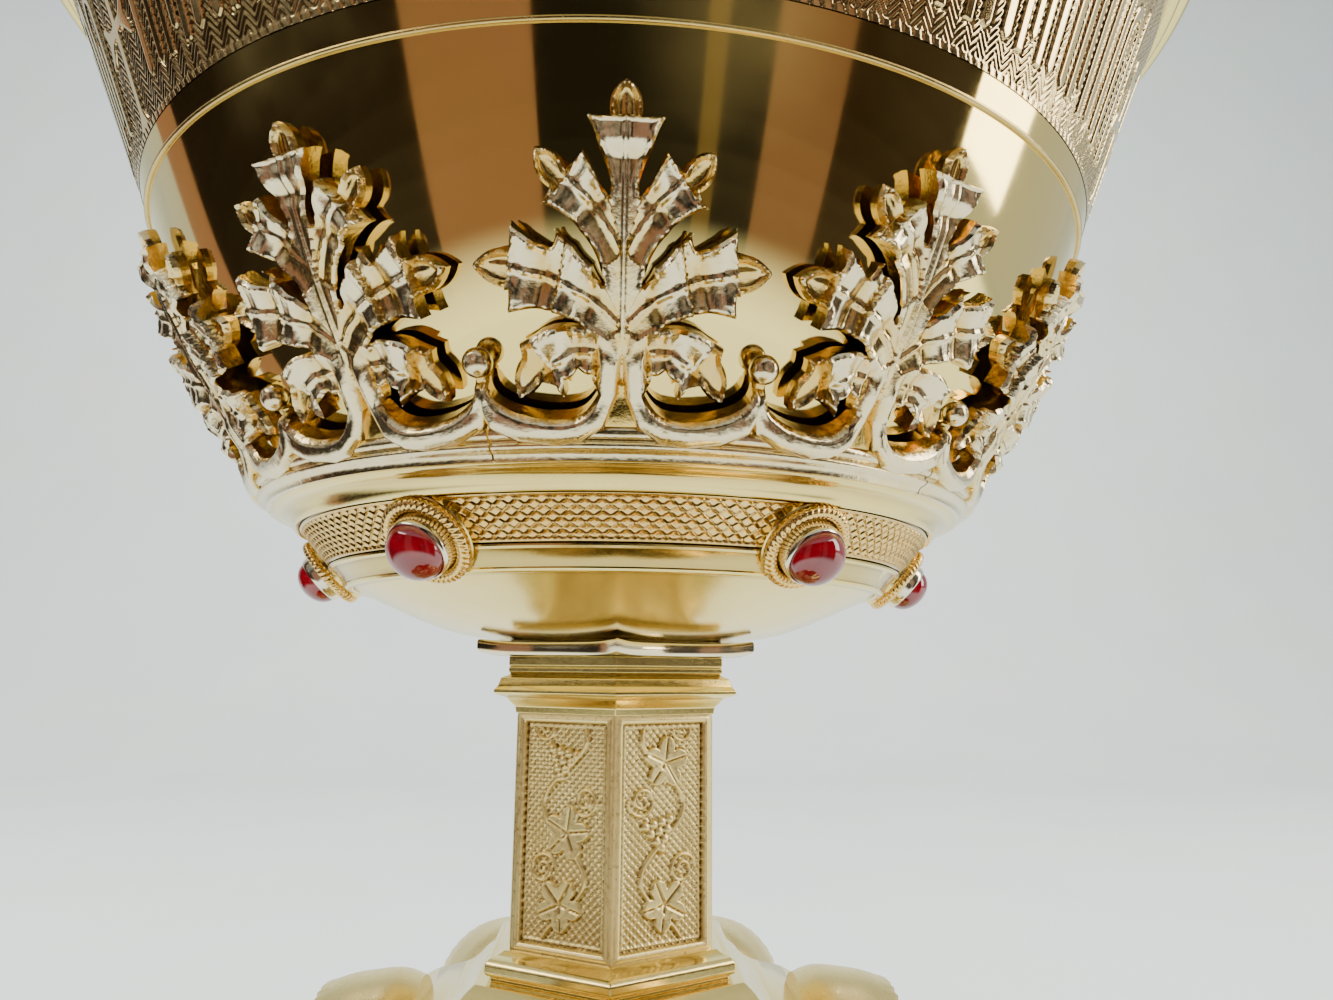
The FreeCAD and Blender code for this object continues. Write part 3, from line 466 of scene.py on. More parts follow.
def bowl_profile():
    outside = bowl_path.copy()
    inside = beside(bowl_path, -BOWL_WALL)[:385]
    sunk = np.clip(np.minimum(outside[:, 1] - BAND_LOW, BAND_HIGH - outside[:, 1]) / 0.2, 0, 1)
    outside = beside(outside, 0) + np.stack([-BAND_SINK * sunk, 0 * sunk], axis=1)
    turn = np.linspace(0, math.pi, 13)
    rim_low, rim_high = bowl_path[0, 1], RIM - LINE
    middle, half = (rim_low + rim_high) / 2, (rim_high - rim_low) / 2
    inner = inside[0, 0]
    roll_centre = bowl_path[0, 0] + RIM_ROLL / 2
    roll = np.stack([roll_centre + (RIM_ROLL / 2 + 0.3) * np.sin(turn), middle + half * np.cos(turn)],
                    axis=1)
    lip = np.array([[inner, rim_low], [inner + 0.1, rim_high - 0.25], [inner + 0.35, rim_high]])
    floor = np.array([[4.0, -(LINE - CUP_BASE) + 2.4], [0.02, -(LINE - CUP_BASE) + 2.4]])
    base = np.array([[0.02, outside[-1, 1]]])
    profile = np.vstack([floor[::-1], inside[::-1], lip, roll, outside, base])
    profile[:, 1] += LINE
    return profile


points, faces = lathe(bowl_profile(), 384)
make_piece("bowl_skin", points, faces, MIRROR_GILT, ["bowl"], slot="polished_gilt", crease=50)
print("bowl faces", len(faces))

# %% [markdown]
# ## The wire at the line
# A fine drawn wire soldered round the bowl hides the line where the plain bowl meets the engraved band. It
# was brushed, not burnished, so it reads as one soft stripe between two mirrors. It is a small circle
# swept round the bowl, half sunk in it as solder would leave it.

# %% Wire
def ring_wire(radius, height, thickness, segments=384):
    turn = np.arange(16) * math.tau / 16
    profile = np.stack([radius + thickness * np.cos(turn), height + thickness * np.sin(turn)], axis=1)
    return lathe(profile, segments, closed=True)


WIRE_GILT = brushed_gilding("silver_gilt_drawn_wire", "#D2BC7C", "#B89C58", "#5A4018", 0.22, 0.05)
points, faces = ring_wire(float(bowl_radius(0)) + 0.12, LINE, 0.22)
make_piece("bowl_line_wire", points, faces, WIRE_GILT, ["bowl_wire"])
print("wire faces", len(faces))

# %% [markdown]
# ## The leaf crest: outline
# Twelve Gothic leaves climb the bowl. Each was modelled in wax, cast in silver and chased. A leaf is
# symmetrical, so half its outline is enough: the tip, the horned lobes and the scroll that runs to the
# berry. Straight lines between corners would look like cut paper, so each edge is bowed a little.

# %% Leaf outline
# Each corner holds its distance from the vein, its height, and how far the edge before it bows in (a share
# of the edge's length). Edges of the pointed tips bow out, so their value is below zero.
LEAF_TIP = (0.0, -3.7)
LEAF_SIDE = [(1.05, -5.9, -0.2), (2.7, -5.8, 0.03), (1.75, -7.8, 0.05), (0.9, -9.9, 0.04),
             (1.05, -10.5, 0), (2.9, -7.8, 0.04), (4.0, -8.8, 0.08), (6.2, -7.6, -0.16),
             (5.2, -10.0, -0.2), (5.9, -10.9, 0.05), (4.5, -11.3, 0.06), (3.0, -12.5, 0.06),
             (1.9, -13.9, 0.05), (1.4, -15.6, 0.05), (2.2, -14.5, 0.05), (3.5, -13.3, 0.06),
             (4.7, -12.3, 0.05), (5.1, -13.4, 0.1), (8.0, -11.8, 0.05), (7.9, -13.4, 0.08),
             (10.8, -14.2, -0.14), (8.0, -15.7, -0.14), (8.1, -17.0, 0.06), (5.4, -17.0, 0.05),
             (3.8, -17.4, 0.05), (2.7, -18.1, 0.04), (5.9, -18.2, -0.08), (7.6, -19.0, 0.02),
             (7.4, -19.8, 0.08), (7.6, -22.1, -0.2), (5.9, -21.3, -0.12), (4.0, -21.9, 0.05),
             (4.1, -20.9, 0.05), (3.2, -20.4, -0.08), (2.2, -20.7, -0.1), (1.7, -21.8, -0.1)]
# SCROLL_RIB is the crown of the round rib that runs down beside the vein and out under the scroll.
SCROLL_RIB = [(0.85, -18.4), (1.0, -20.6), (1.1, -21.8), (1.8, -23.0), (3.1, -23.75), (4.8, -23.95),
              (7.4, -23.65), (9.3, -22.95), (10.2, -22.0)]
SCROLL_SIDE = [(1.7, -21.8), (2.5, -22.7), (4.6, -23.2), (7.4, -22.9), (9.1, -22.3), (9.9, -21.6),
               (10.05, -20.9)]
NECK_TOP, RING_TOP, RING_LOW = -20.7, -24.2, -26.8
STANDOFF, THICK, HIGHEST = 0.7, 1.5, 2.3
STEP = 360 / LEAVES
BERRY_RADIUS, BERRY_HEIGHT = 1.15, -20.8
FOOT_KICK, KICK_TOP, KICK_RUN = 0.9, -21.6, 2.4  # how far a leaf's foot leans out, and over which heights


def bow_edges(corners, steps=7):
    """Straight edges between corners, each bowed in or out by its own share of its length."""
    result = []
    for (x0, z0, _), (x1, z1, bow) in zip(corners[:-1], corners[1:]):
        t = np.linspace(0, 1, steps, endpoint=False)[:, None]
        run = np.array([x1 - x0, z1 - z0])
        inward = np.array([run[1], -run[0]])
        result.append(np.array([x0, z0]) + run * t + inward * bow * 4 * t * (1 - t))
    return np.vstack(result + [np.array([corners[-1][:2]])])


neck_reach = (float(bowl_radius(NECK_TOP)) + STANDOFF + THICK / 2) * math.radians(STEP / 2)
leaf_side = bow_edges([(*LEAF_TIP, 0)] + LEAF_SIDE)
scroll = smooth_path(SCROLL_SIDE, 24)[1:]
free_edge = np.vstack([leaf_side, scroll])
edge_down = np.array([[neck_reach, NECK_TOP], [neck_reach, RING_TOP - 1.1]])
right_side = np.vstack([free_edge, edge_down])
print("outline points on half a leaf:", len(right_side))

# %% [markdown]
# ## The leaf crest: relief
# Every lobe has a thin raised vein with hollow flutes beside it. Along the vein the metal climbs to a
# crest and then steps down sharply, so the horned tips seem to curl over. One function gives the
# height at any place: it finds the nearest vein, how far along it lies, and adds those three shapes.

# %% Leaf relief
VEINS = [
    {"line": [(0.0, -25.0), (0.0, -3.9)], "crests": [19.0], "wide": 1.5},
    {"line": [(0.35, -13.5), (0.9, -12.6), (2.4, -10.75), (3.8, -9.6), (6.1, -7.7)],
     "crests": [5.5], "wide": 1.4},
    {"line": [(0.35, -17.8), (1.3, -17.0), (2.95, -16.0), (4.4, -15.35), (8.0, -14.4), (10.9, -14.0)],
     "crests": [4.8, 8.5], "wide": 1.6},
    {"line": [(0.5, -20.2), (2.0, -19.4), (3.5, -19.4), (4.9, -20.0), (6.4, -21.1), (7.5, -22.0)],
     "crests": [5.2], "wide": 1.3},
]


def along_line(points, line):
    """Distance from a polyline, and how far along it the nearest place lies."""
    line = np.array(line, float)
    best = np.full(len(points), 1e9)
    place = np.zeros(len(points))
    passed = 0.0
    for start, end in zip(line[:-1], line[1:]):
        run = end - start
        length = np.linalg.norm(run)
        t = np.clip(((points - start) @ run) / length ** 2, 0, 1)
        gap = np.linalg.norm(points - start - t[:, None] * run, axis=1)
        nearer = gap < best
        best[nearer], place[nearer] = gap[nearer], passed + t[nearer] * length
        passed += length
    return best, place, passed


def smooth_step(x):
    x = np.clip(x, 0, 1)
    return x * x * (3 - 2 * x)


def climb(place, crests, total):
    """Height along a vein: a shallow dip, a swell up to each crest, then a sharp step down."""
    height = np.zeros_like(place)
    marks = [0.0] + list(crests) + [total]
    for number, (start, end) in enumerate(zip(marks[:-1], marks[1:])):
        share = np.clip((place - start) / (end - start), 0, 1)
        if number == len(marks) - 2:
            section = 0.34 + 0.12 * share
        else:
            dip = 0.2 * np.exp(-((end - place - 2.4) / 0.55) ** 2) * (end - start > 3)
            swell = 0.16 * np.exp(-((end - place - 1.1) / 0.6) ** 2)
            section = 0.5 + 0.42 * share ** 1.4 - dip + swell
        height = np.where(place >= start, section, height)
    for crest in crests:
        drop = smooth_step((place - crest) / 0.16)
        height = np.where((place >= crest) & (place < crest + 0.16), 0.92 - 0.56 * drop, height)
        height = height + 0.12 * np.exp(-((place - crest + 0.08) / 0.09) ** 2)
    return height


def leaf_height(points, rim_gap):
    """Height of the leaf's face above its back, in millimetres, and how bright the metal is rubbed."""
    half = np.stack([np.abs(points[:, 0]), points[:, 1]], axis=1)
    nearest = np.full(len(points), 1e9)
    height, flute, tip = np.zeros(len(points)), np.zeros(len(points)), np.zeros(len(points))
    for vein in VEINS:
        gap, place, total = along_line(half, vein["line"])
        closer = gap < nearest
        height = np.where(closer, climb(place, vein["crests"], total), height)
        flute = np.where(closer, np.clip(gap / vein["wide"], 0, 1) ** 1.5, flute)
        tip = np.where(closer, place > vein["crests"][-1] + 0.16, tip)
        nearest = np.minimum(nearest, gap)
    rib = np.exp(-(nearest / 0.17) ** 2) * (1 - 0.6 * tip)
    relief = 0.30 + 1.35 * height + 0.42 * flute * (1 - tip) + 0.24 * rib
    relief = relief + 0.42 * tip * np.exp(-((rim_gap - 0.2) / 0.2) ** 2)
    gap, place, total = along_line(half, SCROLL_RIB)
    round_rib = 0.7 + 0.95 * np.sqrt(np.clip(1 - (gap / 0.85) ** 2, 0, 1))
    round_rib += 0.3 * np.exp(-(half[:, 0] / 0.2) ** 2) * smooth_step((half[:, 1] + 21.6) / 0.8)
    at_foot = smooth_step((-18.2 - half[:, 1]) / 2.2) * smooth_step((2.3 - half[:, 0]) / 0.6)
    relief = relief * (1 - at_foot) + round_rib * at_foot
    below = (half[:, 1] < -20.7) & (half[:, 0] > 1.3) & inside_scroll(half)
    relief = np.where(below, round_rib, relief)
    rounding = 0.26 * (1 - smooth_step(rim_gap / 0.2))
    relief = relief - 0.5 * np.exp(-(((half[:, 0] - 5.2) / 0.42) ** 2 + ((half[:, 1] + 20.3) / 0.42) ** 2))
    relief = np.clip(relief + 0.1 * np.exp(-((rim_gap - 0.26) / 0.12) ** 2) - rounding, 0.25, HIGHEST)
    shine = np.clip(0.26 + 0.50 * (relief - 0.74), 0.06, 0.9)
    return relief, shine


def inside_scroll(half):
    """Whether a place lies under the scroll's upper edge."""
    line = np.array(SCROLL_SIDE)
    return half[:, 1] <= np.interp(half[:, 0], line[:, 0], line[:, 1], right=0.0) + 0.02


bowl_slope = np.gradient(bowl_path, axis=0)
slope_length = np.linalg.norm(bowl_slope, axis=1)[:, None]
bowl_normal = np.stack([-bowl_slope[:, 1], bowl_slope[:, 0]], 1) / slope_length


def wrap_on_bowl(flat, lift):
    """Lay flat points (distance round, height) on the bowl, lifted off it along its normal."""
    order = bowl_path[::-1, 1]
    out = np.interp(flat[:, 1], order, bowl_normal[::-1, 0])
    tilt = np.interp(flat[:, 1], order, bowl_normal[::-1, 1])
    radius = bowl_radius(flat[:, 1])
    turn = np.degrees(flat[:, 0] / (radius + STANDOFF + THICK / 2))
    return on_axis(radius + lift * out, turn, LINE + flat[:, 1] + lift * tilt)


print("veins on half a leaf:", len(VEINS))

# %% [markdown]
# ## The leaf crest: mesh
# The outline is filled with an even net of triangles, each 0.15 mm, so that the relief shows as real
# shape. Side walls drop from the rim to the back, with a narrow bevel where the edge was stoned smooth.
# Faces, walls and back carry different wear, because only the raised faces are touched and rubbed.

# %% Leaf mesh
def inside_outline(points, outline):
    result = np.zeros(len(points), bool)
    for (x0, y0), (x1, y1) in zip(outline, np.roll(outline, -1, axis=0)):
        crosses = (y0 > points[:, 1]) != (y1 > points[:, 1])
        with np.errstate(divide="ignore", invalid="ignore"):
            at = (x1 - x0) * (points[:, 1] - y0) / (y1 - y0) + x0
        result ^= crosses & (points[:, 0] < at)
    return result


def free_edge_gap(points):
    """Distance from the leaf's real edge. The cuts between neighbouring leaves don't count."""
    half = np.stack([np.abs(points[:, 0]), points[:, 1]], axis=1)
    return along_line(half, free_edge)[0]


def resample(line, spacing):
    """The same closed outline with no edge longer than the spacing."""
    result = []
    for start, end in zip(line, np.roll(line, -1, axis=0)):
        count = max(1, int(math.ceil(np.linalg.norm(end - start) / spacing)))
        result += [start + (end - start) * i / count for i in range(count)]
    return np.array(result)


def leaf_mesh(spacing):
    left = right_side[:0:-1] * [-1, 1]
    outline = resample(np.vstack([right_side, left]), spacing)
    lowest, highest = outline.min(axis=0), outline.max(axis=0)
    rows = np.arange(lowest[1], highest[1], spacing * 0.87)
    columns = np.arange(lowest[0], highest[0], spacing)
    net = np.array([(x + (i % 2) * spacing / 2, y) for i, y in enumerate(rows) for x in columns])
    net = net[inside_outline(net, outline)]
    closed = np.vstack([outline, outline[:1]])
    net = net[along_line(net, closed)[0] > spacing * 0.5]
    flat = np.vstack([outline, net])
    rim = len(outline)
    edges = [(i, (i + 1) % rim) for i in range(rim)]
    filled = delaunay_2d_cdt([Vector(p) for p in flat], edges, [], 1, 1e-6)
    flat = np.array([tuple(v) for v in filled[0]])
    triangles = filled[2]
    relief, shine = leaf_height(flat, free_edge_gap(flat))
    count = len(flat)
    kick = FOOT_KICK * smooth_step((KICK_TOP - flat[:, 1]) / KICK_RUN)
    top = wrap_on_bowl(flat, STANDOFF + relief + kick)
    back = wrap_on_bowl(flat, np.full(count, STANDOFF))
    brink = wrap_on_bowl(outline, STANDOFF + relief[:rim] + kick[:rim] - 0.06)
    foot = wrap_on_bowl(outline, np.full(rim, STANDOFF + 0.001))
    points = np.vstack([top, back, brink, foot])
    faces = list(triangles) + [[i + count for i in face[::-1]] for face in triangles]
    for i in range(rim):
        j = (i + 1) % rim
        faces.append([i, 2 * count + i, 2 * count + j, j])
        faces.append([2 * count + i, 2 * count + rim + i, 2 * count + rim + j, 2 * count + j])
        faces.append([2 * count + rim + i, count + i, count + j, 2 * count + rim + j])
    wear = np.concatenate([shine, np.zeros(count), np.full(rim, 0.15), np.zeros(rim)])
    return points, faces, wear


def turned_points(points, degrees):
    matrix = np.array(Matrix.Rotation(math.radians(degrees), 3, "Z"))
    return points @ matrix.T


def join_parts(parts):
    """Several (points, faces, wear) parts as one."""
    points, faces, wear = [], [], []
    shift = 0
    for part_points, part_faces, part_wear in parts:
        points.append(part_points)
        faces += [[i + shift for i in face] for face in part_faces]
        wear.append(part_wear)
        shift += len(part_points)
    return np.vstack(points), faces, np.concatenate(wear)


leaf = leaf_mesh(0.15)
print("triangles in a leaf:", len(leaf[1]))

# %% [markdown]
# ## The leaf crest: ring, berries and segments
# The crest was cast as six short strips of two leaves, because a whole ring is hard to cast and to bend
# true. Each strip has its length of moulded ring below and a round berry after each leaf. The strips
# meet at fine seams, so one strip is modelled and turned six times with a small gap between.

# %% Crest segments
cup_reach = float(bowl_radius(RING_TOP - 0.7)) + 3.55
ring_reach = cup_reach - 0.6
ring_shape = smooth_path([
    (ring_reach - 1.3, RING_TOP + 0.12), (ring_reach - 0.55, RING_TOP + 0.05),
    (ring_reach - 0.1, RING_TOP - 0.35),
    (ring_reach, RING_TOP - 0.75), (ring_reach - 0.35, RING_TOP - 1.2), (ring_reach - 0.65, RING_TOP - 1.3),
    (ring_reach - 0.5, RING_TOP - 1.55), (ring_reach - 0.7, RING_TOP - 1.9),
    (ring_reach - 1.15, RING_TOP - 2.1),
    (ring_reach - 1.4, RING_LOW)], 44)
ring_back = np.array([[float(bowl_radius(RING_LOW)) + 0.3, RING_LOW],
                      [float(bowl_radius(RING_TOP)) + 0.3, RING_TOP]])
SEAM, RING_DROP = 0.25, 0.65  # gap between strips in degrees; how far the ring hangs below the leaves' feet


def ring_segment():
    outline = np.vstack([ring_shape, ring_back]) - [0, RING_DROP]
    turns = np.linspace(-STEP / 2 + SEAM / 2, 2 * STEP - STEP / 2 - SEAM / 2, 145)
    rows = [on_axis(outline[:, 0], turn, LINE + outline[:, 1]) for turn in turns]
    faces = grid_faces(len(turns), len(outline), wrap=True)
    last = (len(turns) - 1) * len(outline)
    faces.append(list(range(len(outline)))[::-1])
    faces.append([last + i for i in range(len(outline))])
    return np.vstack(rows), faces, np.full(len(turns) * len(outline), 0.62)


def berry(degrees):
    """A slightly squashed ball with a shallow dimple, on a short neck."""
    turn = np.linspace(0, math.pi, 25)
    radius = BERRY_RADIUS * (1 - 0.1 * np.exp(-(turn / 0.25) ** 2))
    profile = np.stack([radius * np.sin(turn) + 1e-4, radius * np.cos(turn)], axis=1)
    points, faces = lathe(profile, 32)
    points = points[:, [0, 2, 1]] * [1, -1, 1]
    centre = float(bowl_radius(BERRY_HEIGHT)) + STANDOFF + 1.1
    points = points + [0, -centre, LINE + BERRY_HEIGHT]
    return turned_points(points, degrees), faces, np.full(len(points), 0.7)


segment = join_parts([
    leaf, (turned_points(leaf[0], STEP), leaf[1], leaf[2]),
    ring_segment(), berry(STEP / 2), berry(1.5 * STEP)])
first_segment = make_piece("crest_segment_1", segment[0], segment[1], PARCEL_GILT, ["calyx_segment_1"],
                           slot="cast_parcel_gilt", crease=45, tint=segment[2], clean=False)
for number in range(1, SIDES):
    copy_piece(first_segment, f"crest_segment_{number + 1}", 60 * number, [f"calyx_segment_{number + 1}"])
print("crest segment faces:", len(segment[1]))

# %% [markdown]
# ## The engraved band
# Above the wire the bowl carries a tall engraved frieze. The ground is cut with short slanting strokes
# like feathers, and plain burnished figures stand out of it, each with a cut outline. Here the figures
# are lancet bars, pointed arches and fishtail crosses. Each sixth is a height field on the bowl.

# %% Band pattern
FEATHER = 0.62
UNITS = 12
TILE = 360 / SIDES


def lancet(x, y, middle, half_height, half_width, point=1.0):
    """Signed distance-like value of an upright bar with pointed ends: negative inside."""
    return np.maximum(np.abs(x) - half_width, np.abs(y - middle) - half_height + point * np.abs(x))


def arch(x, y, foot, spring, half_width, thickness):
    """Two legs that meet in a pointed arch."""
    over = np.hypot(np.abs(x) + half_width * 0.8, np.maximum(y - spring, 0)) - half_width * 1.8
    legs = np.maximum(np.abs(over) - thickness, foot - y)
    return legs


def fishtail_cross(x, y, middle):
    """Cross whose four arms widen to forked ends."""
    result = np.full_like(x, 1e9)
    for along, across, reach_ in ((y - middle, x, 7.2), (x, y - middle - 1.6, 3.6)):
        far = np.abs(along)
        width = 0.5 + 1.15 * smooth_step((far - reach_ + 2.2) / 2.0)
        notch = reach_ + 0.35 - 0.9 * (1 - np.abs(across) / 1.7)
        result = np.minimum(result, np.maximum(np.abs(across) - width, far - notch))
    return result


def band_relief(turn, height):
    """Relief of the frieze, by angle in degrees and height above the wire."""
    x = turn * math.radians(1) * 54.0
    unit = TILE / UNITS * math.radians(1) * 54.0
    number = np.floor(turn / (TILE / UNITS))
    local = x - (number + 0.5) * unit
    even = np.mod(number, 2) == 0
    tall = np.minimum(lancet(local - 1.25, height, 12.6, 7.6, 0.5),
                      lancet(local + 1.25, height, 12.6, 7.6, 0.5))
    tall = np.minimum(tall, lancet(local, height, 19.2, 1.1, 0.9))
    window = np.minimum(arch(local, height, 5.0, 15.5, 1.5, 0.42), lancet(local, height, 10.0, 3.8, 0.4))
    window = np.minimum(window, lancet(local, height, 21.2, 0.9, 0.8))
    figure = np.where(even, tall, window)
    cross_place = x - 5.6 * math.radians(1) * 54.0
    near_cross = np.abs(cross_place) < 4.4
    figure = np.where(near_cross, fishtail_cross(cross_place, height, 9.4), figure)
    column = np.abs(np.mod(x, 2.2) - 1.1)
    stroke = np.abs(np.mod((height + 1.1 * column) / FEATHER, 1) - 0.5)
    ground = -0.03 - 0.13 * smooth_step(1 - stroke / 0.24)
    edge = smooth_step((0.12 - figure) / 0.14)
    cut = 0.14 * np.exp(-((figure - 0.2) / 0.1) ** 2)
    relief = ground * (1 - edge) + 0.05 * edge - cut
    border = np.minimum(height - BAND_LOW, BAND_HIGH - height)
    plain = smooth_step((0.62 - border) / 0.1)
    tick = np.abs(np.mod((x + 0.5 * border) / 1.0, 1) - 0.5)
    tooth = -0.12 * smooth_step(1 - tick / 0.14) * (border > 0.12)
    return relief * (1 - plain) + (tooth + 0.03) * plain


def band_tile(spacing):
    columns = int(TILE * math.radians(1) * 54.0 / spacing)
    turns = np.linspace(-TILE / 2, TILE / 2, columns)
    heights = np.linspace(BAND_LOW + 0.05, BAND_HIGH - 0.05, int((BAND_HIGH - BAND_LOW) / spacing))
    turn, height = np.meshgrid(turns, heights)
    lift = band_relief(turn, height)
    radius = bowl_radius(height)
    out = np.interp(height, bowl_path[::-1, 1], bowl_normal[::-1, 0])
    tilt = np.interp(height, bowl_path[::-1, 1], bowl_normal[::-1, 1])
    points = on_axis(radius + lift * out, turn, LINE + height + lift * tilt)
    return points.reshape(-1, 3), grid_faces(len(heights), columns)


ENGRAVED_GILT = brushed_gilding("silver_gilt_engraved", "#F4DFA6", "#E2C078", "#4E3517", 0.10, 0.045)
points, faces = band_tile(0.12)
band = make_piece("bowl_frieze_1", points, faces, ENGRAVED_GILT, ["bowl"], slot="polished_gilt",
                  crease=75, clean=False)
for number in range(1, SIDES):
    copy_piece(band, f"bowl_frieze_{number + 1}", TILE * number, ["bowl"])
print("frieze faces in a sixth:", len(faces))

# %% [markdown]
# ## The calyx cup
# Under the crest a shallow spun cup wraps the bowl. It was turned to a moulded profile: a cove, two raised
# fillets that frame a sunk strip, and a burnished dish that runs down to the stem. The profile is
# a short list of points in the frame of the leaning face, so the strip and jewels share one slope.

# %% Cup
BAND_START, BAND_LEAN, BAND_LENGTH = (34.2, -28.9), math.radians(40.6), 8.3
PLATE_CORNER = reach("bowl_plate")


def on_face(down, out):
    """Radius and height from the line of a place on the leaning face."""
    radius = BAND_START[0] - down * math.sin(BAND_LEAN) + out * math.cos(BAND_LEAN)
    return (radius, BAND_START[1] - down * math.cos(BAND_LEAN) - out * math.sin(BAND_LEAN))


base = CUP_BASE - LINE
cove = smooth_path([(cup_reach - 2.3, RING_LOW - 0.2), (cup_reach - 2.35, RING_LOW - 0.5),
                    (cup_reach - 2.75, RING_LOW - 0.85), (cup_reach - 3.7, RING_LOW - 1.1),
                    on_face(-0.55, 0.42)], 16)
fillets = np.array([on_face(*p) for p in (
    (-0.35, 0.5), (-0.05, 0.5), (0.1, 0.42), (0.22, 0.1), (0.3, -0.12), (5.05, -0.12), (5.12, 0.18),
    (5.25, 0.26),
    (5.5, 0.26), (5.62, 0.16), (5.68, 0.0), (6.1, -0.06), (6.9, -0.08), (7.5, 0.0), (7.6, 0.12),
    (7.8, 0.17),
    (8.0, 0.12), (8.15, -0.02), (8.3, -0.3))])
dish = smooth_path([on_face(8.34, -0.5), (22.5, base + 2.5), (18.0, base + 0.9),
                    (PLATE_CORNER - 1, base + 0.02)], 60)
inside_cup = np.array([(6.1, base + 0.02), (6.1, base + 1.2), (13.5, base + 1.2), (20.5, base + 3.0),
                       on_face(7.1, -1.4), on_face(0.3, -1.5),
                       (float(bowl_radius(RING_LOW)) + 0.3, RING_LOW - 0.4)])
cup_profile = np.vstack([cove, fillets, dish, inside_cup])
cup_profile[:, 1] += LINE
points, faces = lathe(cup_profile, 384, closed=True)
make_piece("calyx_cup_spun", points, faces, SATIN_GILT, ["calyx_cup"], crease=28)
print("cup faces", len(faces))

# %% [markdown]
# ## The trellis strip
# Between the jewels runs a strip of fine lattice. It was rolled or stamped as a flat ribbon, bent round
# and soldered into the groove. The raised lines are only a fifth of a millimetre high, but they sparkle,
# so they are real relief: two sets of slanting ridges that cross in lozenges 1.3 mm wide.

# %% Trellis
LOZENGES, STRIP_START, STRIP_WIDTH = 152, 0.42, 4.55


def trellis(columns, rows):
    turns = np.arange(columns) * 360 / columns
    downs = np.linspace(STRIP_START, STRIP_START + STRIP_WIDTH, rows)
    turn, down = np.meshgrid(turns, downs)
    across = turn / 360 * LOZENGES
    drop = (down - STRIP_START) / 1.14
    gap = np.minimum(np.abs(np.mod(across + drop, 1) - 0.5), np.abs(np.mod(across - drop, 1) - 0.5))
    ridge = smooth_step(1 - gap / 0.15)
    border = np.minimum(down - STRIP_START, STRIP_START + STRIP_WIDTH - down)
    lift = -0.1 + 0.17 * np.maximum(ridge, smooth_step((0.3 - border) / 0.12))
    radius = BAND_START[0] - down * math.sin(BAND_LEAN) + lift * math.cos(BAND_LEAN)
    height = LINE + BAND_START[1] - down * math.cos(BAND_LEAN) - lift * math.sin(BAND_LEAN)
    return on_axis(radius, turn, height).reshape(-1, 3), grid_faces(rows, columns, wrap=True)


TRELLIS_GILT = brushed_gilding("silver_gilt_stamped", "#EFCF86", "#DDB160", "#6A4214", 0.16, 0.05)
points, faces = trellis(1824, 46)
make_piece("trellis_strip_stamped", points, faces, TRELLIS_GILT, ["trellis_strip"], slot="chased_gilt",
           crease=60, clean=False)
print("trellis faces", len(faces))

# %% [markdown]
# ## The jewels
# Six garnets sit on round seats soldered over the strip. A rope of twisted wire rings each seat, and a
# plain collar of thin silver, the bezel, is rubbed over the edge of the stone to hold it. Each jewel is
# modelled upright, set on the leaning face once, and then turned round the cup.

# %% Jewel settings
jewel_spot = on_face(BAND_LENGTH / 2, 0.3)
jewel_out = Vector((0, -math.cos(BAND_LEAN), -math.sin(BAND_LEAN)))
jewel_turn = np.array(jewel_out.to_track_quat("Z", "X").to_matrix())


def at_jewel(points):
    """Move points built upright at the origin to the jewel that stands 30 degrees from the front."""
    placed = points @ jewel_turn.T + [0, -jewel_spot[0], LINE + jewel_spot[1]]
    return turned_points(placed, 30)


def rope(radius, wire, strands, along=312, around_wire=16):
    """A wire ring twisted from two strands, flattened a little where it is soldered down."""
    ring, wrap = np.meshgrid(np.arange(along) * math.tau / along,
                             np.arange(around_wire) * math.tau / around_wire,
                             indexing="ij")
    size = wire * (0.84 + 0.2 * np.abs(np.cos(strands * ring / 2 + wrap)))
    across = radius + size * np.cos(wrap)
    up = wire * 0.8 + size * np.sin(wrap)
    points = np.stack([across * np.sin(ring), across * np.cos(ring), up], axis=-1).reshape(-1, 3)
    faces = grid_faces(along + 1, around_wire, wrap=True)
    return points, [[i % len(points) for i in face] for face in faces]


def upright_lathe(profile, segments=96):
    return lathe(np.array(profile, float), segments)


def set_of_six(name, shape, material, node, slot, crease=35):
    """Six of the same piece round the cup. The node's name may hold a number."""
    names = [node.format(number + 1) for number in range(SIDES)]
    first = make_piece(f"{name}_1", at_jewel(shape[0]), shape[1], material, [names[0]], slot=slot,
                       crease=crease)
    for number in range(1, SIDES):
        copy_piece(first, f"{name}_{number + 1}", 60 * number, [names[number]])


seat = upright_lathe([(0.02, -1.0), (4.1, -1.0), (4.2, -0.05), (4.1, 0.06), (3.7, 0.08), (0.02, 0.08)])
collet = upright_lathe([(2.5, 0.4), (2.52, 1.7), (2.6, 2.02), (2.7, 2.1), (2.8, 2.0), (2.86, 1.7),
                        (2.9, 1.0),
                        (3.0, 0.4), (3.15, 0.1), (2.3, 0.0)])
dome = smooth_path([(2.6, 1.2), (2.59, 2.0), (2.45, 2.65), (2.05, 3.25), (1.3, 3.75), (0.5, 3.97),
                    (0.015, 4.0)], 48)
stone = upright_lathe(np.vstack([[(0.015, 1.1), (2.5, 1.1)], dome]), 96)
BEZEL_SILVER = brushed_gilding("bezel_silver_burnished", "#F2ECDD", "#D8CBA8", "#6A5A3C", 0.10, 0.05)
set_of_six("jewel_seat", seat, SATIN_GILT, "calyx_cup", "satin_gilt")
set_of_six("rope_wire", rope(3.62, 0.6, 44), TRELLIS_GILT, "rope_ring_{}", "chased_gilt", 60)
set_of_six("bezel_collet", collet, BEZEL_SILVER, "bezel_{}", "satin_gilt")
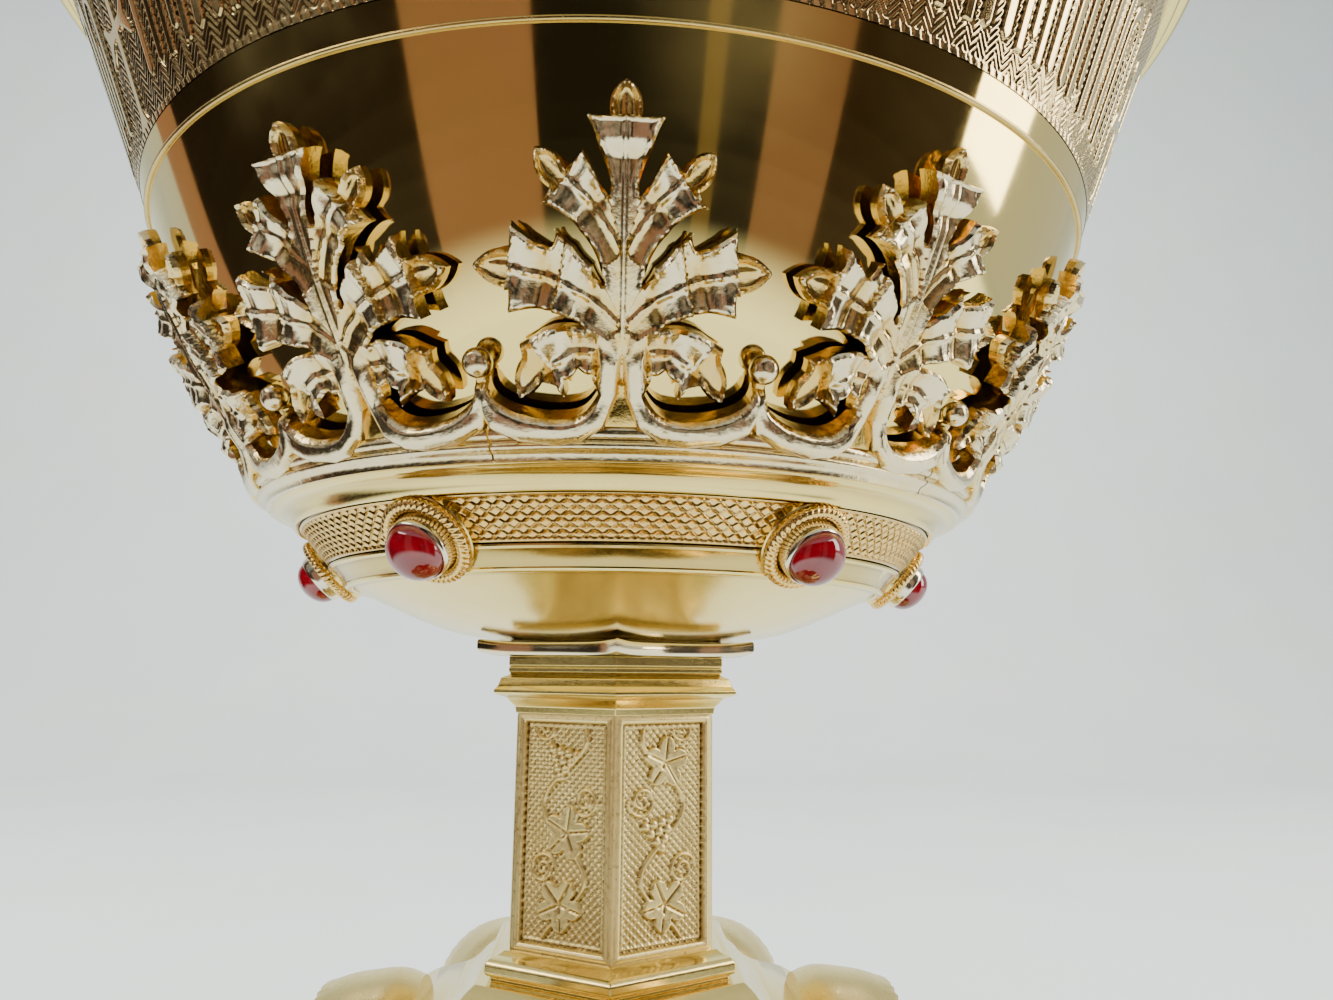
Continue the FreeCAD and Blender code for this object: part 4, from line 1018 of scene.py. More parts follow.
set_of_six("cabochon_dome", stone, GARNET, "cabochon_{}", "garnet", 60)
print("jewels:", SIDES)

# %% [markdown]
# ## Mitred mouldings
# The stem is six-sided, so its mouldings are bent from drawn strip, mitred at the corners and soldered.
# Their edges are crisp but never sharp, because every one was stoned. A stack of hexagons gives the
# mitres exactly, and a small bevel gives each edge the bright line that shows it is solid metal.

# %% Collar, plate and hexagonal mouldings
def moulding(name, node, steps, material=None, body="root", bevel=0.12, hole=3.7):
    """Solid six-sided moulding from (how far the corner stands past the stem, share of the height)."""
    bottom, top = low(node), high(node)
    profile = [(STEM_CORNER + out, bottom + share * (top - bottom)) for out, share in steps]
    points, faces = hexagon_stack([(hole, bottom), *profile, (hole, top)])
    return make_piece(name, points, faces, material or SATIN_GILT, [node], body=body, crease=20,
                      bevel=bevel)


def collar():
    """Thin plate whose six sides curve in and whose corners turn up a little."""
    bottom, top = low("concave_collar"), high("concave_collar")
    corner = STEM_CORNER + 4.8
    side = corner * math.cos(math.pi / 6) - 2.4
    rows = [(corner * 0.5, side * 0.6, bottom), (corner - 1.3, side - 0.9, bottom),
            (corner - 0.25, side - 0.15, bottom + 0.12), (corner, side, bottom + 0.4),
            (corner, side, top - 0.25), (corner - 0.2, side - 0.12, top), (corner * 0.5, side * 0.6, top)]
    points, faces = lobed_stack(rows, 32)
    distance = np.hypot(points[:, 0], points[:, 1])
    points[:, 2] += 0.4 * np.clip((distance - side) / (corner - side), 0, 1) ** 2.5
    return points, faces


COLLAR_SILVER = brushed_gilding("silver_gilt_worn_plate", "#EFE3C2", "#DCC796", "#6A5030", 0.12, 0.05)
points, faces = collar()
make_piece("collar_plate", points, faces, COLLAR_SILVER, ["concave_collar"], crease=30)
moulding("bowl_plate_hexagon", "bowl_plate", [(1.1, 0), (1.1, 1)], bevel=0.05)
moulding("neck_mitred", "neck_moulding", [
    (0.2, 0), (0.35, 0.12), (0.9, 0.2), (1.3, 0.27), (2.5, 0.33), (2.8, 0.36), (2.8, 0.41), (2.45, 0.46),
    (2.3, 0.5), (2.05, 0.62), (1.5, 0.65), (0.95, 0.69), (1.2, 0.73), (1.2, 0.8), (1.02, 0.82), (1.2, 0.84),
    (1.2, 1)], bevel=0.09)
moulding("stem_foot_mitred", "upper_stem_foot", [
    (1.9, 0), (1.9, 0.16), (2.45, 0.24), (2.6, 0.34), (2.6, 0.6), (2.4, 0.7), (2.1, 0.78), (1.2, 0.86),
    (0.5, 1)])
moulding("lower_head_mitred", "lower_stem_head", [
    (0.4, 0), (0.8, 0.1), (2.1, 0.28), (2.6, 0.42), (2.6, 0.7), (2.2, 0.8), (1.9, 0.86), (1.9, 1)])
moulding("lower_foot_mitred", "lower_stem_foot", [
    (3.0, 0), (3.0, 0.28), (2.2, 0.36), (1.6, 0.5), (1.6, 0.62), (1.0, 0.74), (0.5, 1)])
print("mouldings made")

# %% [markdown]
# ## The vine panels
# Every face of the stem holds a sunk panel chased with a vine: a winding stalk with curling tendrils,
# lobed leaves and bunches of grapes, on a ground punched with a fine net. Chasing pushes metal about
# with blunt punches, so all forms are soft. Each face is a height field, and two designs alternate.

# %% Vine relief
def bump_over(distance, radius, height):
    """Half-round section of a stalk or ball."""
    return height * np.sqrt(np.clip(1 - (distance / radius) ** 2, 0, 1))


def vine_leaf(x, y, turn, size):
    """Five-pointed leaf with a sunk middle and raised veins."""
    angle = np.arctan2(y, x) - turn
    distance = np.hypot(x, y)
    outline = size * (0.58 + 0.42 * np.abs(np.cos(2.5 * angle)) ** 0.8)
    inside = smooth_step((outline - distance) / 0.22)
    vein = np.exp(-(distance * np.abs(np.sin(2.5 * angle)) / 2.5 / 0.1) ** 2)
    return inside * (0.34 + 0.16 * distance / size - 0.22 * vein)


def grapes(x, y, turn, size):
    """Bunch of round grapes, four at the top and one at the point."""
    down = x * math.sin(turn) - y * math.cos(turn)
    side = x * math.cos(turn) + y * math.sin(turn)
    result = np.zeros_like(x)
    for row in range(4):
        for i in range(4 - row):
            place = (i - (3 - row) / 2) * size
            gap = np.hypot(side - place, down - (row - 1.2) * size * 0.86)
            result = np.maximum(result, bump_over(gap, size * 0.56, 0.52))
    return result


def tendril(x, y, turns, size, start):
    """A curl of wire that winds in to its own middle."""
    angle = np.mod(np.arctan2(y, x) - start, math.tau)
    distance = np.hypot(x, y)
    result = np.zeros_like(x)
    for lap in range(turns):
        radius = size * (1 - (angle / math.tau + lap) / (turns + 0.15))
        result = np.maximum(result, bump_over(distance - radius, 0.19, 0.34))
    return result


def vine_relief(x, y, length, design):
    """Relief of a panel, with x across and y up from its middle."""
    mirror = 1 if design else -1
    wave = 2.5 * np.sin(y / length * 3 * math.pi + 0.4) * mirror
    slope = 2.5 * 3 * math.pi / length * np.cos(y / length * 3 * math.pi + 0.4)
    relief = bump_over((x - wave) / np.sqrt(1 + slope ** 2), 0.27, 0.42)
    thirds = length / 3
    kinds = [(grapes, vine_leaf, vine_leaf), (vine_leaf, grapes, vine_leaf)][design]
    for number, kind in enumerate(kinds):
        at_y = (1 - number) * thirds
        at_x = -0.9 * math.sin(at_y / length * 3 * math.pi + 0.4) * mirror
        turn = 0.5 + 0.9 * number + design
        size = 0.98 if kind is grapes else 2.75
        turn = 0.2 * mirror if kind is grapes else turn
        relief = np.maximum(relief, kind(x - at_x, y - at_y, turn, size))
        curl_y = at_y + thirds * 0.47
        curl_x = 2.4 * mirror * (-1) ** number
        curl = tendril(x - curl_x, y - curl_y, 2, 1.6, math.pi * number)
        relief = np.maximum(relief, curl)
    return relief


def stem_face(node, design, spacing):
    """One flat face of the six-sided stem with its frame and its sunk panel."""
    bottom, top = low(node), high(node)
    width, length = STEM_CORNER, top - bottom
    flat = STEM_CORNER * math.cos(math.pi / 6)
    x_line = np.linspace(-width / 2, width / 2, int(width / spacing))
    y_line = np.linspace(-length / 2, length / 2, int(length / spacing))
    x, y = np.meshgrid(x_line, y_line)
    border = np.minimum(width / 2 - np.abs(x) - 0.95, length / 2 - np.abs(y) - 0.75)
    sunk = smooth_step(border / 0.16)
    bead = 0.1 * np.exp(-((border + 0.3) / 0.13) ** 2)
    line = 0.22 * np.exp(-((border - 0.42) / 0.12) ** 2)
    mesh_pitch = 0.8
    net = np.minimum(np.abs(np.mod((x + y) / mesh_pitch, 1) - 0.5),
                     np.abs(np.mod((x - y) / mesh_pitch, 1) - 0.5))
    ground = 0.17 * smooth_step(1 - net / 0.2)
    vine = vine_relief(x, y, length - 2.6, design) * smooth_step((border - 0.5) / 0.3)
    relief = -0.55 * sunk + sunk * np.maximum(np.maximum(ground, vine), line) + bead
    corner = smooth_step((np.abs(x) - width / 2 + 0.25) / 0.25)
    relief -= 0.07 * corner
    points = np.stack([x, -(flat + relief), (bottom + top) / 2 + y], axis=-1).reshape(-1, 3)
    return turned_points(points, 30), grid_faces(len(y_line), len(x_line))


def stem_panels(name, node, spacing):
    firsts = []
    for number in range(SIDES):
        design = (number + 1) % 2
        if number < 2:
            points, faces = stem_face(node, design, spacing)
            points = turned_points(points, 60 * number)
            piece = make_piece(f"{name}_{number + 1}", points, faces, CHASED_GILT, [node],
                               slot="chased_gilt",
                               crease=80, clean=False)
            firsts.append(piece)
        else:
            copy_piece(firsts[number % 2], f"{name}_{number + 1}", 60 * (number - number % 2), [node])
    print(name, "faces each:", len(firsts[0].data.polygons))


panel_spacing = 0.1
stem_panels("stem_vine_panel", "upper_stem", panel_spacing)
stem_panels("lower_vine_panel", "lower_stem", panel_spacing)

# %% [markdown]
# ## The knop
# The knop is where the hand holds the cup. It is a flattened six-sided body made as two halves, with a
# round boss let into each side. Each boss is a small raised cup with a chased rosette in its face. The
# body is a stack of hexagons rounded at its ridge, and a boss is a polar height field.

# %% Knop body and bosses
def knop_half(name, node, upper):
    middle = (low("knop_lower") + high("knop_upper")) / 2
    half = high("knop_upper") - middle
    corner, neck = 28.0, STEM_CORNER + 3.5
    span = corner - neck
    outline = smooth_path([(corner - 0.02, 0.0), (corner - 0.1, 0.16 * half),
                           (corner - 0.12 * span, 0.38 * half),
                           (corner - 0.42 * span, 0.62 * half), (neck + 1.9, 0.84 * half),
                           (neck + 0.5, 0.97 * half),
                           (neck, half)], 16)
    lip = [(neck - 0.1, half), (neck - 0.8, half + 0.0), (9.0, half)]
    rows = np.vstack([[(15.0, 0.0)], outline, lip])
    sign = 1 if upper else -1
    points, faces = hexagon_stack([(r, middle + sign * z) for r, z in rows])
    return make_piece(name, points, faces, SATIN_GILT, [node], crease=24, bevel=0.25)


def boss_face(radius, turn):
    """How far the boss stands out at a distance from its own axis."""
    petal = np.cos(4 * turn) ** 2
    bowl_part = 27.9 + 0.9 * np.exp(-((radius - 4.4) / 1.5) ** 2) * (0.35 + 0.65 * petal)
    eye = 1.1 * np.sqrt(np.clip(1 - (radius / 1.7) ** 2, 0, 1))
    vein = 0.28 * np.exp(-((turn * 4 / math.pi + 0.5) % 1 - 0.5) ** 2 / 0.01) * (radius > 2) * (radius < 6.3)
    return bowl_part + eye - vein


def knop_boss():
    middle = (low("knop_boss_1") + high("knop_boss_1")) / 2
    turns = np.arange(144) * math.tau / 144
    rings = []
    for radius in np.linspace(0.02, 6.6, 40):
        rings.append((np.full(144, radius), boss_face(radius, turns)))
    rim = smooth_path([(6.75, 28.3), (7.0, 29.3), (7.4, 29.9), (7.9, 29.8), (8.2, 29.2), (8.8, 27.2),
                       (9.2, 24.5),
                       (9.3, 21.7), (8.6, 19.6)], 30)
    rim = np.vstack([rim, [(7.6, 19.5), (4.0, 19.5), (0.02, 19.5)]])
    for radius, out in rim:
        twist = 0.1 * np.cos(36 * turns) if 28.9 < out and 7.2 < radius < 8.4 else 0.0
        rings.append((np.full(144, radius), np.full(144, out) + twist))
    points = np.concatenate([np.stack([r * np.cos(turns), -out, middle + r * np.sin(turns)], axis=1) for r,
                             out in rings])
    return turned_points(points, 30), grid_faces(len(rings), 144, wrap=True)


knop_half("knop_top_half", "knop_upper", True)
knop_half("knop_bottom_half", "knop_lower", False)
points, faces = knop_boss()
boss = make_piece("knop_rosette_1", points, faces, CHASED_GILT, ["knop_boss_1"], slot="chased_gilt",
                  crease=50)
for number in range(1, SIDES):
    copy_piece(boss, f"knop_rosette_{number + 1}", 60 * number, [f"knop_boss_{number + 1}"])
print("boss faces", len(faces))

# %% [markdown]
# ## The foot
# A Gothic foot spreads in six lobes, so the cup stands steady in the hand of someone reaching for it. It
# was raised as one shell that sweeps up to the stem, with a ridge between lobes, and chased with a
# border line and a leaf on each lobe. Below it a pierced gallery stands on a wide base plate.

# %% Foot shell and flange
FOOT_CUSP, FOOT_LOBE = 57.0, 70.0
FOOT_STEPS = [(0.0, 1.0, 1.0), (0.09, 0.86, 0.86), (0.24, 0.63, 0.615), (0.44, 0.38, 0.35),
              (0.68, 0.15, 0.125),
              (1.0, 0.0, 0.0)]


def foot_shell(rows, count):
    """Outside of the foot: share of the height, then how far cusp and lobe spread there."""
    base_height, top_height = high("foot_flange"), high("foot")
    neck = STEM_CORNER + 2.6
    steps = smooth_path(FOOT_STEPS, rows)
    result = []
    across = np.tile(np.linspace(-1, 1, count, endpoint=False), SIDES)
    for share, cusp_share, lobe_share in steps:
        cusp = neck + (FOOT_CUSP - neck) * cusp_share
        lobe = neck * 0.9 + (FOOT_LOBE - neck * 0.9) * lobe_share
        angles, radii = lobed_ring(cusp, lobe, count)
        result.append(on_axis(radii, angles, base_height + (top_height - base_height) * share))
    grid = np.array(result)
    along = np.linspace(0, 1, rows)[:, None]
    width = np.linalg.norm(grid[:, 0] - grid[:, count // 2], axis=1)[:, None]
    edge = (1 - np.abs(across))[None, :] * width
    figure = np.hypot(across[None, :] * width * 0.9, (along - 0.36) * 62)
    angle = np.arctan2((along - 0.36) * 62, across[None, :] * width * 0.9)
    leaf_line = figure - 9.5 * (0.6 + 0.4 * np.abs(np.cos(2.5 * (angle - math.pi / 2))))
    relief = 0.35 * np.exp(-((edge - 3.2) / 0.45) ** 2) + 0.35 * np.exp(-((along - 0.05) * 62 / 0.5) ** 2)
    relief = relief + 0.45 * smooth_step(-leaf_line / 0.8) - 0.25 * np.exp(-(leaf_line / 0.35) ** 2)
    relief = relief + 0.3 * np.exp(-(across[None, :] * width / 0.5) ** 2) * (leaf_line < -0.6)
    fade = smooth_step((1 - along) / 0.25)
    out = grid * [1, 1, 0]
    out = out / np.linalg.norm(out, axis=2)[:, :, None] * 0.6 + [0, 0, 0.8]
    grid = grid + out * (relief * fade)[:, :, None]
    return grid.reshape(-1, 3), grid_faces(rows, count * SIDES, wrap=True)


def gallery(count):
    """Base plate, upright wall with a row of small arches, and the ledge under the foot."""
    top = high("foot_flange")
    sections = [(-3.0, top, 0), (3.0, top, 0), (3.5, top - 0.35, 0), (3.5, top - 1.0, 0),
                (3.0, top - 1.4, 0),
                (2.0, top - 1.5, 1), (2.0, top - 2.2, 1), (2.0, top - 3.0, 1), (2.0, top - 4.0, 1),
                (2.0, top - 5.0, 1),
                (2.0, 2.3, 1), (3.4, 2.2, 0), (4.6, 1.9, 0), (5.0, 1.4, 0), (5.0, 0.35, 0), (4.7, 0.0, 0),
                (-3.0, 0.0, 0),
                (-3.0, top, 0)]
    arches = 14
    share = np.tile(np.arange(count) / count, SIDES)
    rows = []
    for out, height, pierced in sections:
        angles, radii = lobed_ring(FOOT_CUSP + out * 0.95, FOOT_LOBE + out, count)
        opening = np.clip(np.abs(np.sin(share * arches * math.pi)) * 2.2 - 0.9, 0, 1)
        crown = np.clip((top - 1.6 - height) / 1.2, 0, 1)
        radii = radii - pierced * 0.9 * opening * crown
        rows.append(on_axis(radii, angles, height))
    return np.concatenate(rows), grid_faces(len(rows), count * SIDES, wrap=True)


points, faces = foot_shell(70, 84)
foot_outside = make_piece("foot_raised", points, faces, SATIN_GILT, ["foot"], crease=40)
underside = foot_outside.modifiers.new("sheet_thickness", "SOLIDIFY")
underside.thickness, underside.offset = -1.3 * MM, -1
points, faces = gallery(168)
make_piece("foot_gallery", points, faces, CHASED_GILT, ["foot_flange"], slot="chased_gilt", crease=30)
print("foot and gallery made")

# %% [markdown]
# ## The lid
# The lid is a shallow raised dome with a rolled brim and a short tube below it, the bezel, which drops
# inside the bowl. It lifts straight off, so all its pieces ride on the lid's own body. Its frieze repeats
# the feathered band of the bowl in a narrower form, and its finial is a six-sided knop with a cross.

# %% Lid dome
def lid_outline():
    rim = high("bowl")
    brim = reach("lid_dome")
    tall = high("lid_dome") - rim
    outline = smooth_path([(61.2, 2.6), (60.0, 8.0), (55.0, 15.5), (44.5, 23.5), (30.0, 30.0), (18.5, 34.6),
                           (13.4, 39.0), (11.6, tall)], 160)
    edge = smooth_path([(brim - 2.6, 0.05), (brim - 0.3, 0.1), (brim, 0.8), (brim - 0.7, 1.6),
                        (brim - 2.0, 1.95),
                        (brim - 2.6, 2.2)], 24)
    outer = np.vstack([edge, outline])
    outer[:, 1] += rim
    return outer, outline + [0, rim]


lid_outer, lid_curve = lid_outline()
lid_inner = beside(lid_curve, 1.2)[:-12]
if lid_inner[40, 0] > lid_curve[40, 0]:
    lid_inner = beside(lid_curve, -1.2)[:-12]
lid_profile = np.vstack([lid_outer, [(2.3, lid_outer[-1, 1]), (2.3, lid_inner[-1, 1])], lid_inner[::-1]])
points, faces = lathe(lid_profile, 384, closed=True)
make_piece("lid_raised", points, faces, MIRROR_GILT, ["lid_dome"], body="lid", slot="polished_gilt",
           crease=35)
print("lid faces", len(faces))


# %% [markdown]
# ## The lid: engraved band
# A narrow band runs round the lid above its rim and answers the one on the bowl. It is cut with a graver
# into the raised metal, so it is modelled as a height field wrapped on the lid, in six equal lengths.

# %% Lid frieze
def lid_frieze(spacing):
    """Feathered ring with pointed bars, laid on the dome between two plain edges."""
    start, end = 8, 46
    curve = lid_curve[start:end]
    path = np.r_[0, np.cumsum(np.linalg.norm(np.diff(curve, axis=0), axis=1))]
    slope = np.gradient(curve, axis=0)
    normal = np.stack([slope[:, 1], -slope[:, 0]], axis=1) / np.linalg.norm(slope, axis=1)[:, None]
    places = np.linspace(0, path[-1], int(path[-1] / spacing))
    columns = int(TILE * math.radians(1) * 58 / spacing)
    turn, place = np.meshgrid(np.linspace(-TILE / 2, TILE / 2, columns), places)
    x = turn * math.radians(1) * 58
    unit = TILE * math.radians(1) * 58 / 14
    local = np.mod(x, unit) - unit / 2
    figure = lancet(local, place, path[-1] / 2, path[-1] / 2 - 1.9, 0.75)
    figure = np.minimum(figure, lancet(np.abs(local) - unit / 2, place, path[-1] / 2, path[-1] / 4, 0.4))
    column = np.abs(np.mod(x, 2.2) - 1.1)
    stroke = np.mod((place + 0.8 * column) / FEATHER, 1)
    edge = smooth_step((0.12 - figure) / 0.14)
    relief = (0.02 + 0.1 * np.abs(2 * stroke - 1)) * (1 - edge) + 0.2 * edge
    relief = relief - 0.1 * np.exp(-((figure - 0.2) / 0.1) ** 2)
    border = np.minimum(place, path[-1] - place)
    relief = np.where(border < 0.6, 0.22, relief)
    radius = np.interp(place, path, curve[:, 0]) + relief * np.interp(place, path, normal[:, 0])
    height = np.interp(place, path, curve[:, 1]) + relief * np.interp(place, path, normal[:, 1])
    return on_axis(radius, turn, height).reshape(-1, 3), grid_faces(len(places), columns)


points, faces = lid_frieze(0.2)
ring = make_piece("lid_frieze_1", points, faces, ENGRAVED_GILT, ["lid_dome"], body="lid",
                  slot="polished_gilt",
                  crease=75, clean=False)
for number in range(1, SIDES):
    copy_piece(ring, f"lid_frieze_{number + 1}", TILE * number, ["lid_dome"])
print("lid frieze faces in a sixth:", len(faces))


# %% [markdown]
# ## The lid: finial and cross
# The finial is what the hand grips to lift the lid. A mitred collar and a six-sided knop repeat the shapes
# of the stem, and the cross is sawn from plate, with a turned disc and a garnet where its arms meet.

# %% Finial and cross
def finial(name, node, profile, bevel=0.15):
    bottom, tall = low(node), high(node) - low(node)
    rows = [(2.1, bottom)] + [(r, bottom + share * tall) for r, share in profile] + [(2.1, bottom + tall)]
    points, faces = hexagon_stack(rows)
    return make_piece(name, points, faces, SATIN_GILT, [node], body="lid", crease=24, bevel=bevel)


finial("finial_mitred", "finial_collar", [(12.6, 0), (12.6, 0.16), (12.0, 0.22), (9.6, 0.34), (8.0, 0.5),
                                          (7.2, 0.7),
                                          (8.0, 0.8), (8.2, 0.88), (8.2, 1)])
finial("finial_hexagon", "finial_knop", [(6.6, 0), (7.6, 0.1), (9.8, 0.22), (11.4, 0.36), (11.8, 0.5),
                                         (11.4, 0.64),
                                         (9.8, 0.78), (7.6, 0.9), (6.6, 1)], 0.3)


def cross_outline():
    """Outline of a Latin cross with forked ends, from the foot of its shaft round to it again."""
    span, waist = 15.0, 1.9
    tail = [(waist, 2.6), (waist + 0.4, span - 7), (5.2, span - 0.8), (4.8, span), (0, span - 3.0)]
    arm = tail + [(-x, y) for x, y in tail[::-1][1:]]
    outline = []
    for turn in (-90, 0, 90):
        angle = math.radians(turn)
        outline += [(x * math.cos(angle) - y * math.sin(angle), x * math.sin(angle) + y * math.cos(angle))
                    for x, y in arm]
    base = low("cross") - (high("cross") - span) + 1.0
    return [(2.2, base), (2.2, -2.6)] + outline + [(-2.2, -2.6), (-2.2, base)]


def polygon_area(outline):
    """Signed area: above zero when the corners run anticlockwise."""
    following = np.roll(outline, -1, axis=0)
    return 0.5 * np.sum(outline[:, 0] * following[:, 1] - outline[:, 1] * following[:, 0])


def slab(outline, thickness, inset, rise):
    """Flat plate with a raised inner panel on both faces."""
    outline = np.array(outline)
    edge = np.roll(outline, -1, axis=0) - outline
    side = np.stack([-edge[:, 1], edge[:, 0]], axis=1) / np.linalg.norm(edge, axis=1)[:, None]
    before = np.roll(side, 1, axis=0)
    inwards = (side + before) / (1 + np.sum(side * before, axis=1))[:, None]
    if polygon_area(outline) < 0:
        inwards = -inwards
    steps = [(inset + 0.25, thickness / 2 + rise), (inset, thickness / 2), (0, thickness / 2)]
    steps += [(shift, -depth) for shift, depth in steps[::-1]]
    rings = []
    for shift, depth in steps:
        ring = outline + inwards * shift
        rings.append(np.stack([ring[:, 0], np.full(len(ring), depth), ring[:, 1]], axis=1))
    faces = grid_faces(len(rings), len(outline), wrap=True)
    cap = tessellate_polygon([[Vector(p) for p in rings[0]]])
    last = (len(rings) - 1) * len(outline)
    faces += [list(face) for face in cap] + [[last + i for i in face[::-1]] for face in cap]
    return np.vstack(rings), faces


cross_middle = high("cross") - 15.0
points, faces = slab(cross_outline(), 3.6, 0.55, -0.35)
make_piece("cross_plate", points + [0, 0, cross_middle], faces, SATIN_GILT, ["cross"], body="lid",
           crease=25, bevel=0.15)
disc = upright_lathe([(0.02, -2.4), (5.2, -2.4), (5.6, -2.0), (5.6, 2.0), (5.2, 2.4), (4.7, 2.4),
                      (4.4, 2.15),
                      (3.3, 2.15), (3.1, 2.9), (2.95, 3.3), (2.8, 3.2), (2.8, 2.0), (0.02, 2.0)])
disc_points = disc[0][:, [0, 2, 1]] * [1, -1, 1] + [0, 0, cross_middle]
make_piece("cross_disc", disc_points, disc[1], SATIN_GILT, ["cross"], body="lid", crease=30)
plinth = hexagon_stack([(2.1, low("cross")), (5.8, low("cross")), (5.8, low("cross") + 1.3),
                        (5.2, low("cross") + 1.7),
                        (4.4, low("cross") + 2.2), (4.0, low("cross") + 6.0), (1.0, low("cross") + 6.2)])
make_piece("cross_plinth", plinth[0], plinth[1], SATIN_GILT, ["cross"], body="lid", crease=24, bevel=0.15)
gem_dome = smooth_path([(2.88, 1.9), (2.85, 2.7), (2.5, 3.5), (1.7, 4.1), (0.8, 4.4), (0.015, 4.45)], 40)
gem = upright_lathe(np.vstack([[(0.015, 1.9)], gem_dome]))
gem_points = gem[0][:, [0, 2, 1]] * [1, -1, 1] + [0, 0, cross_middle]
make_piece("cross_garnet", gem_points, gem[1], GARNET, ["cross_stone"], body="lid", slot="garnet",
           crease=60)
print("cross middle at", round(cross_middle, 1))

# %% [markdown]
# ## Hidden hardware
# The whole vessel is clamped by one rod that runs from a boss under the bowl to a nut inside the foot,
# and the cross by a short stud in the lid. These CAD pieces already have their true shape, so they stay
# and only take a finish: turned brass for the hardware, brushed gilding for the lid's bezel.

# %% Finishes on CAD pieces
KEPT = {"rod_boss": BRASS, "tie_rod": BRASS, "clamp_washer": BRASS, "tie_nut": BRASS, "finial_stud": BRASS,
        "finial_nut": BRASS, "lid_bezel": SATIN_GILT}
for node, material in KEPT.items():
    for piece_slot in frame["nodes"][node].material_slots:
        piece_slot.material = material
print("CAD pieces finished:", len(KEPT))

# %% [markdown]
# ## Floor, light and camera
# Polished metal has no colour of its own to speak of: it shows the room. A studio puts large soft lights
# and plain cards round the cup, so that every curve reflects something simple. Here the pale room gives
# the silver tones, dark and wooden-coloured cards give the deep reflections down the bowl's middle. Each
# card fades to the floor's own tone near the foot, as a polished bowl never shows a hard edge there.

# %% Plain stage
PAPER = "#E2E9E8"


def plain_material(name, colour, roughness, fade=None):
    """Matt painted card, faintly mottled; fade names the distances over which it turns from paper."""
    material, tree, shader = new_material(name)
    place = add_node(tree, "ShaderNodeTexCoord").outputs["Object"]
    mottle = add_node(tree, "ShaderNodeTexNoise", inputs={"Vector": place, "Scale": 8.0, "Detail": 4.0})
    tone = add_node(tree, "ShaderNodeMix", {"data_type": "RGBA", "blend_type": "MULTIPLY"}, {
        "Factor": 0.12, "A": linear(colour), "B": mottle.outputs["Color"]})
    if fade:
        reach = add_node(tree, "ShaderNodeVectorMath", {"operation": "LENGTH"}, {0: place})
        share = add_node(tree, "ShaderNodeMapRange", {"interpolation_type": "SMOOTHSTEP"}, {
            "Value": reach.outputs["Value"], "From Min": fade[0], "From Max": fade[1]})
        tone = add_node(tree, "ShaderNodeMix", {"data_type": "RGBA"}, {
            "Factor": share.outputs["Result"], "A": linear(PAPER), "B": tone.outputs["Result"]})
    tree.links.new(tone.outputs["Result"], shader.inputs["Base Color"])
    shader.inputs["Roughness"].default_value = roughness
    shader.inputs["Specular IOR Level"].default_value = 0.12
    return material


def screen(name, start, end, colour):
    """A curved screen in front of the cup, seen only in its reflections.

    It covers a sector between two angles: it starts flat at NEAR and sweeps up to stand at FAR.
    """
    mesh = bpy.data.meshes.new(name)
    turns = np.linspace(start, end, 13)
    bend = np.linspace(0, math.pi / 2, 9)
    line = [(NEAR, 0.003), (FAR - BEND, 0.003)]
    line += [(FAR - BEND + BEND * math.sin(t), 0.003 + BEND * (1 - math.cos(t))) for t in bend[1:]]
    line += [(FAR, TALL)]
    points = np.concatenate([on_axis(radius, turns, height) for radius, height in line])
    mesh.from_pydata(points.tolist(), [], grid_faces(len(line), len(turns)))
    mesh.materials.append(plain_material(name + "_paint", colour, 0.9, (NEAR, FADED)))
    board = bpy.data.objects.new(name, mesh)
    bpy.context.scene.collection.objects.link(board)
    board.visible_camera = False
    board.visible_diffuse = False
    board.visible_shadow = False


def floor_and_backdrop():
    """A sheet that lies flat and sweeps up behind, all in one pale tone."""
    turn = np.linspace(0, math.pi / 2, 17)
    sweep = [(0.9 + 0.5 * math.sin(t), 0.5 - 0.5 * math.cos(t)) for t in turn]
    line = [(-1.4, 0.0), (0.9, 0.0)] + sweep[1:] + [(1.4, 2.4)]
    points = [(x, y, z) for y, z in line for x in (-2.2, 2.2)]
    mesh = bpy.data.meshes.new("floor")
    mesh.from_pydata(points, [], grid_faces(len(line), 2))
    mesh.shade_smooth()
    mesh.materials.append(plain_material("matt_pale_paper", PAPER, 0.85))
    sheet = bpy.data.objects.new("floor", mesh)
    bpy.context.scene.collection.objects.link(sheet)


floor_and_backdrop()
EYE = Vector((0, -0.106, LINE * MM - 0.0428))
MIDDLE = Vector((0, 0, LINE * MM))
NEAR, FADED, FAR, TALL, BEND = 0.19, 0.34, 0.95, 0.8, 0.5
SCREENS = [
    ("dark_screen", -18, 15, "#070504"),
    ("olive_screen", 15, 19, "#4A3E28"),
    ("dark_screen_right", 19, 28.5, "#090706"),
    ("wood_screen_left", -43, -18, "#6C5146"),
    ("wood_screen_right", 28.5, 44, "#5F473D"),
    ("brown_screen_right", 44, 74, "#1A0F08"),
    ("brown_screen", -104, -43, "#110905"),
    ("wood_edge_screen", -112, -104, "#77594C"),
]
for name, start, end, colour in SCREENS:
    screen(name, start, end, colour)
print("screens:", len(SCREENS))

# %% [markdown]
# ## Lights
# Two wide softboxes stand left and right, a third hangs above, and a weak one near the floor lifts the
# underside of the cup. Wide sources leave broad, soft-edged highlights, as a photographer wants on gilding.

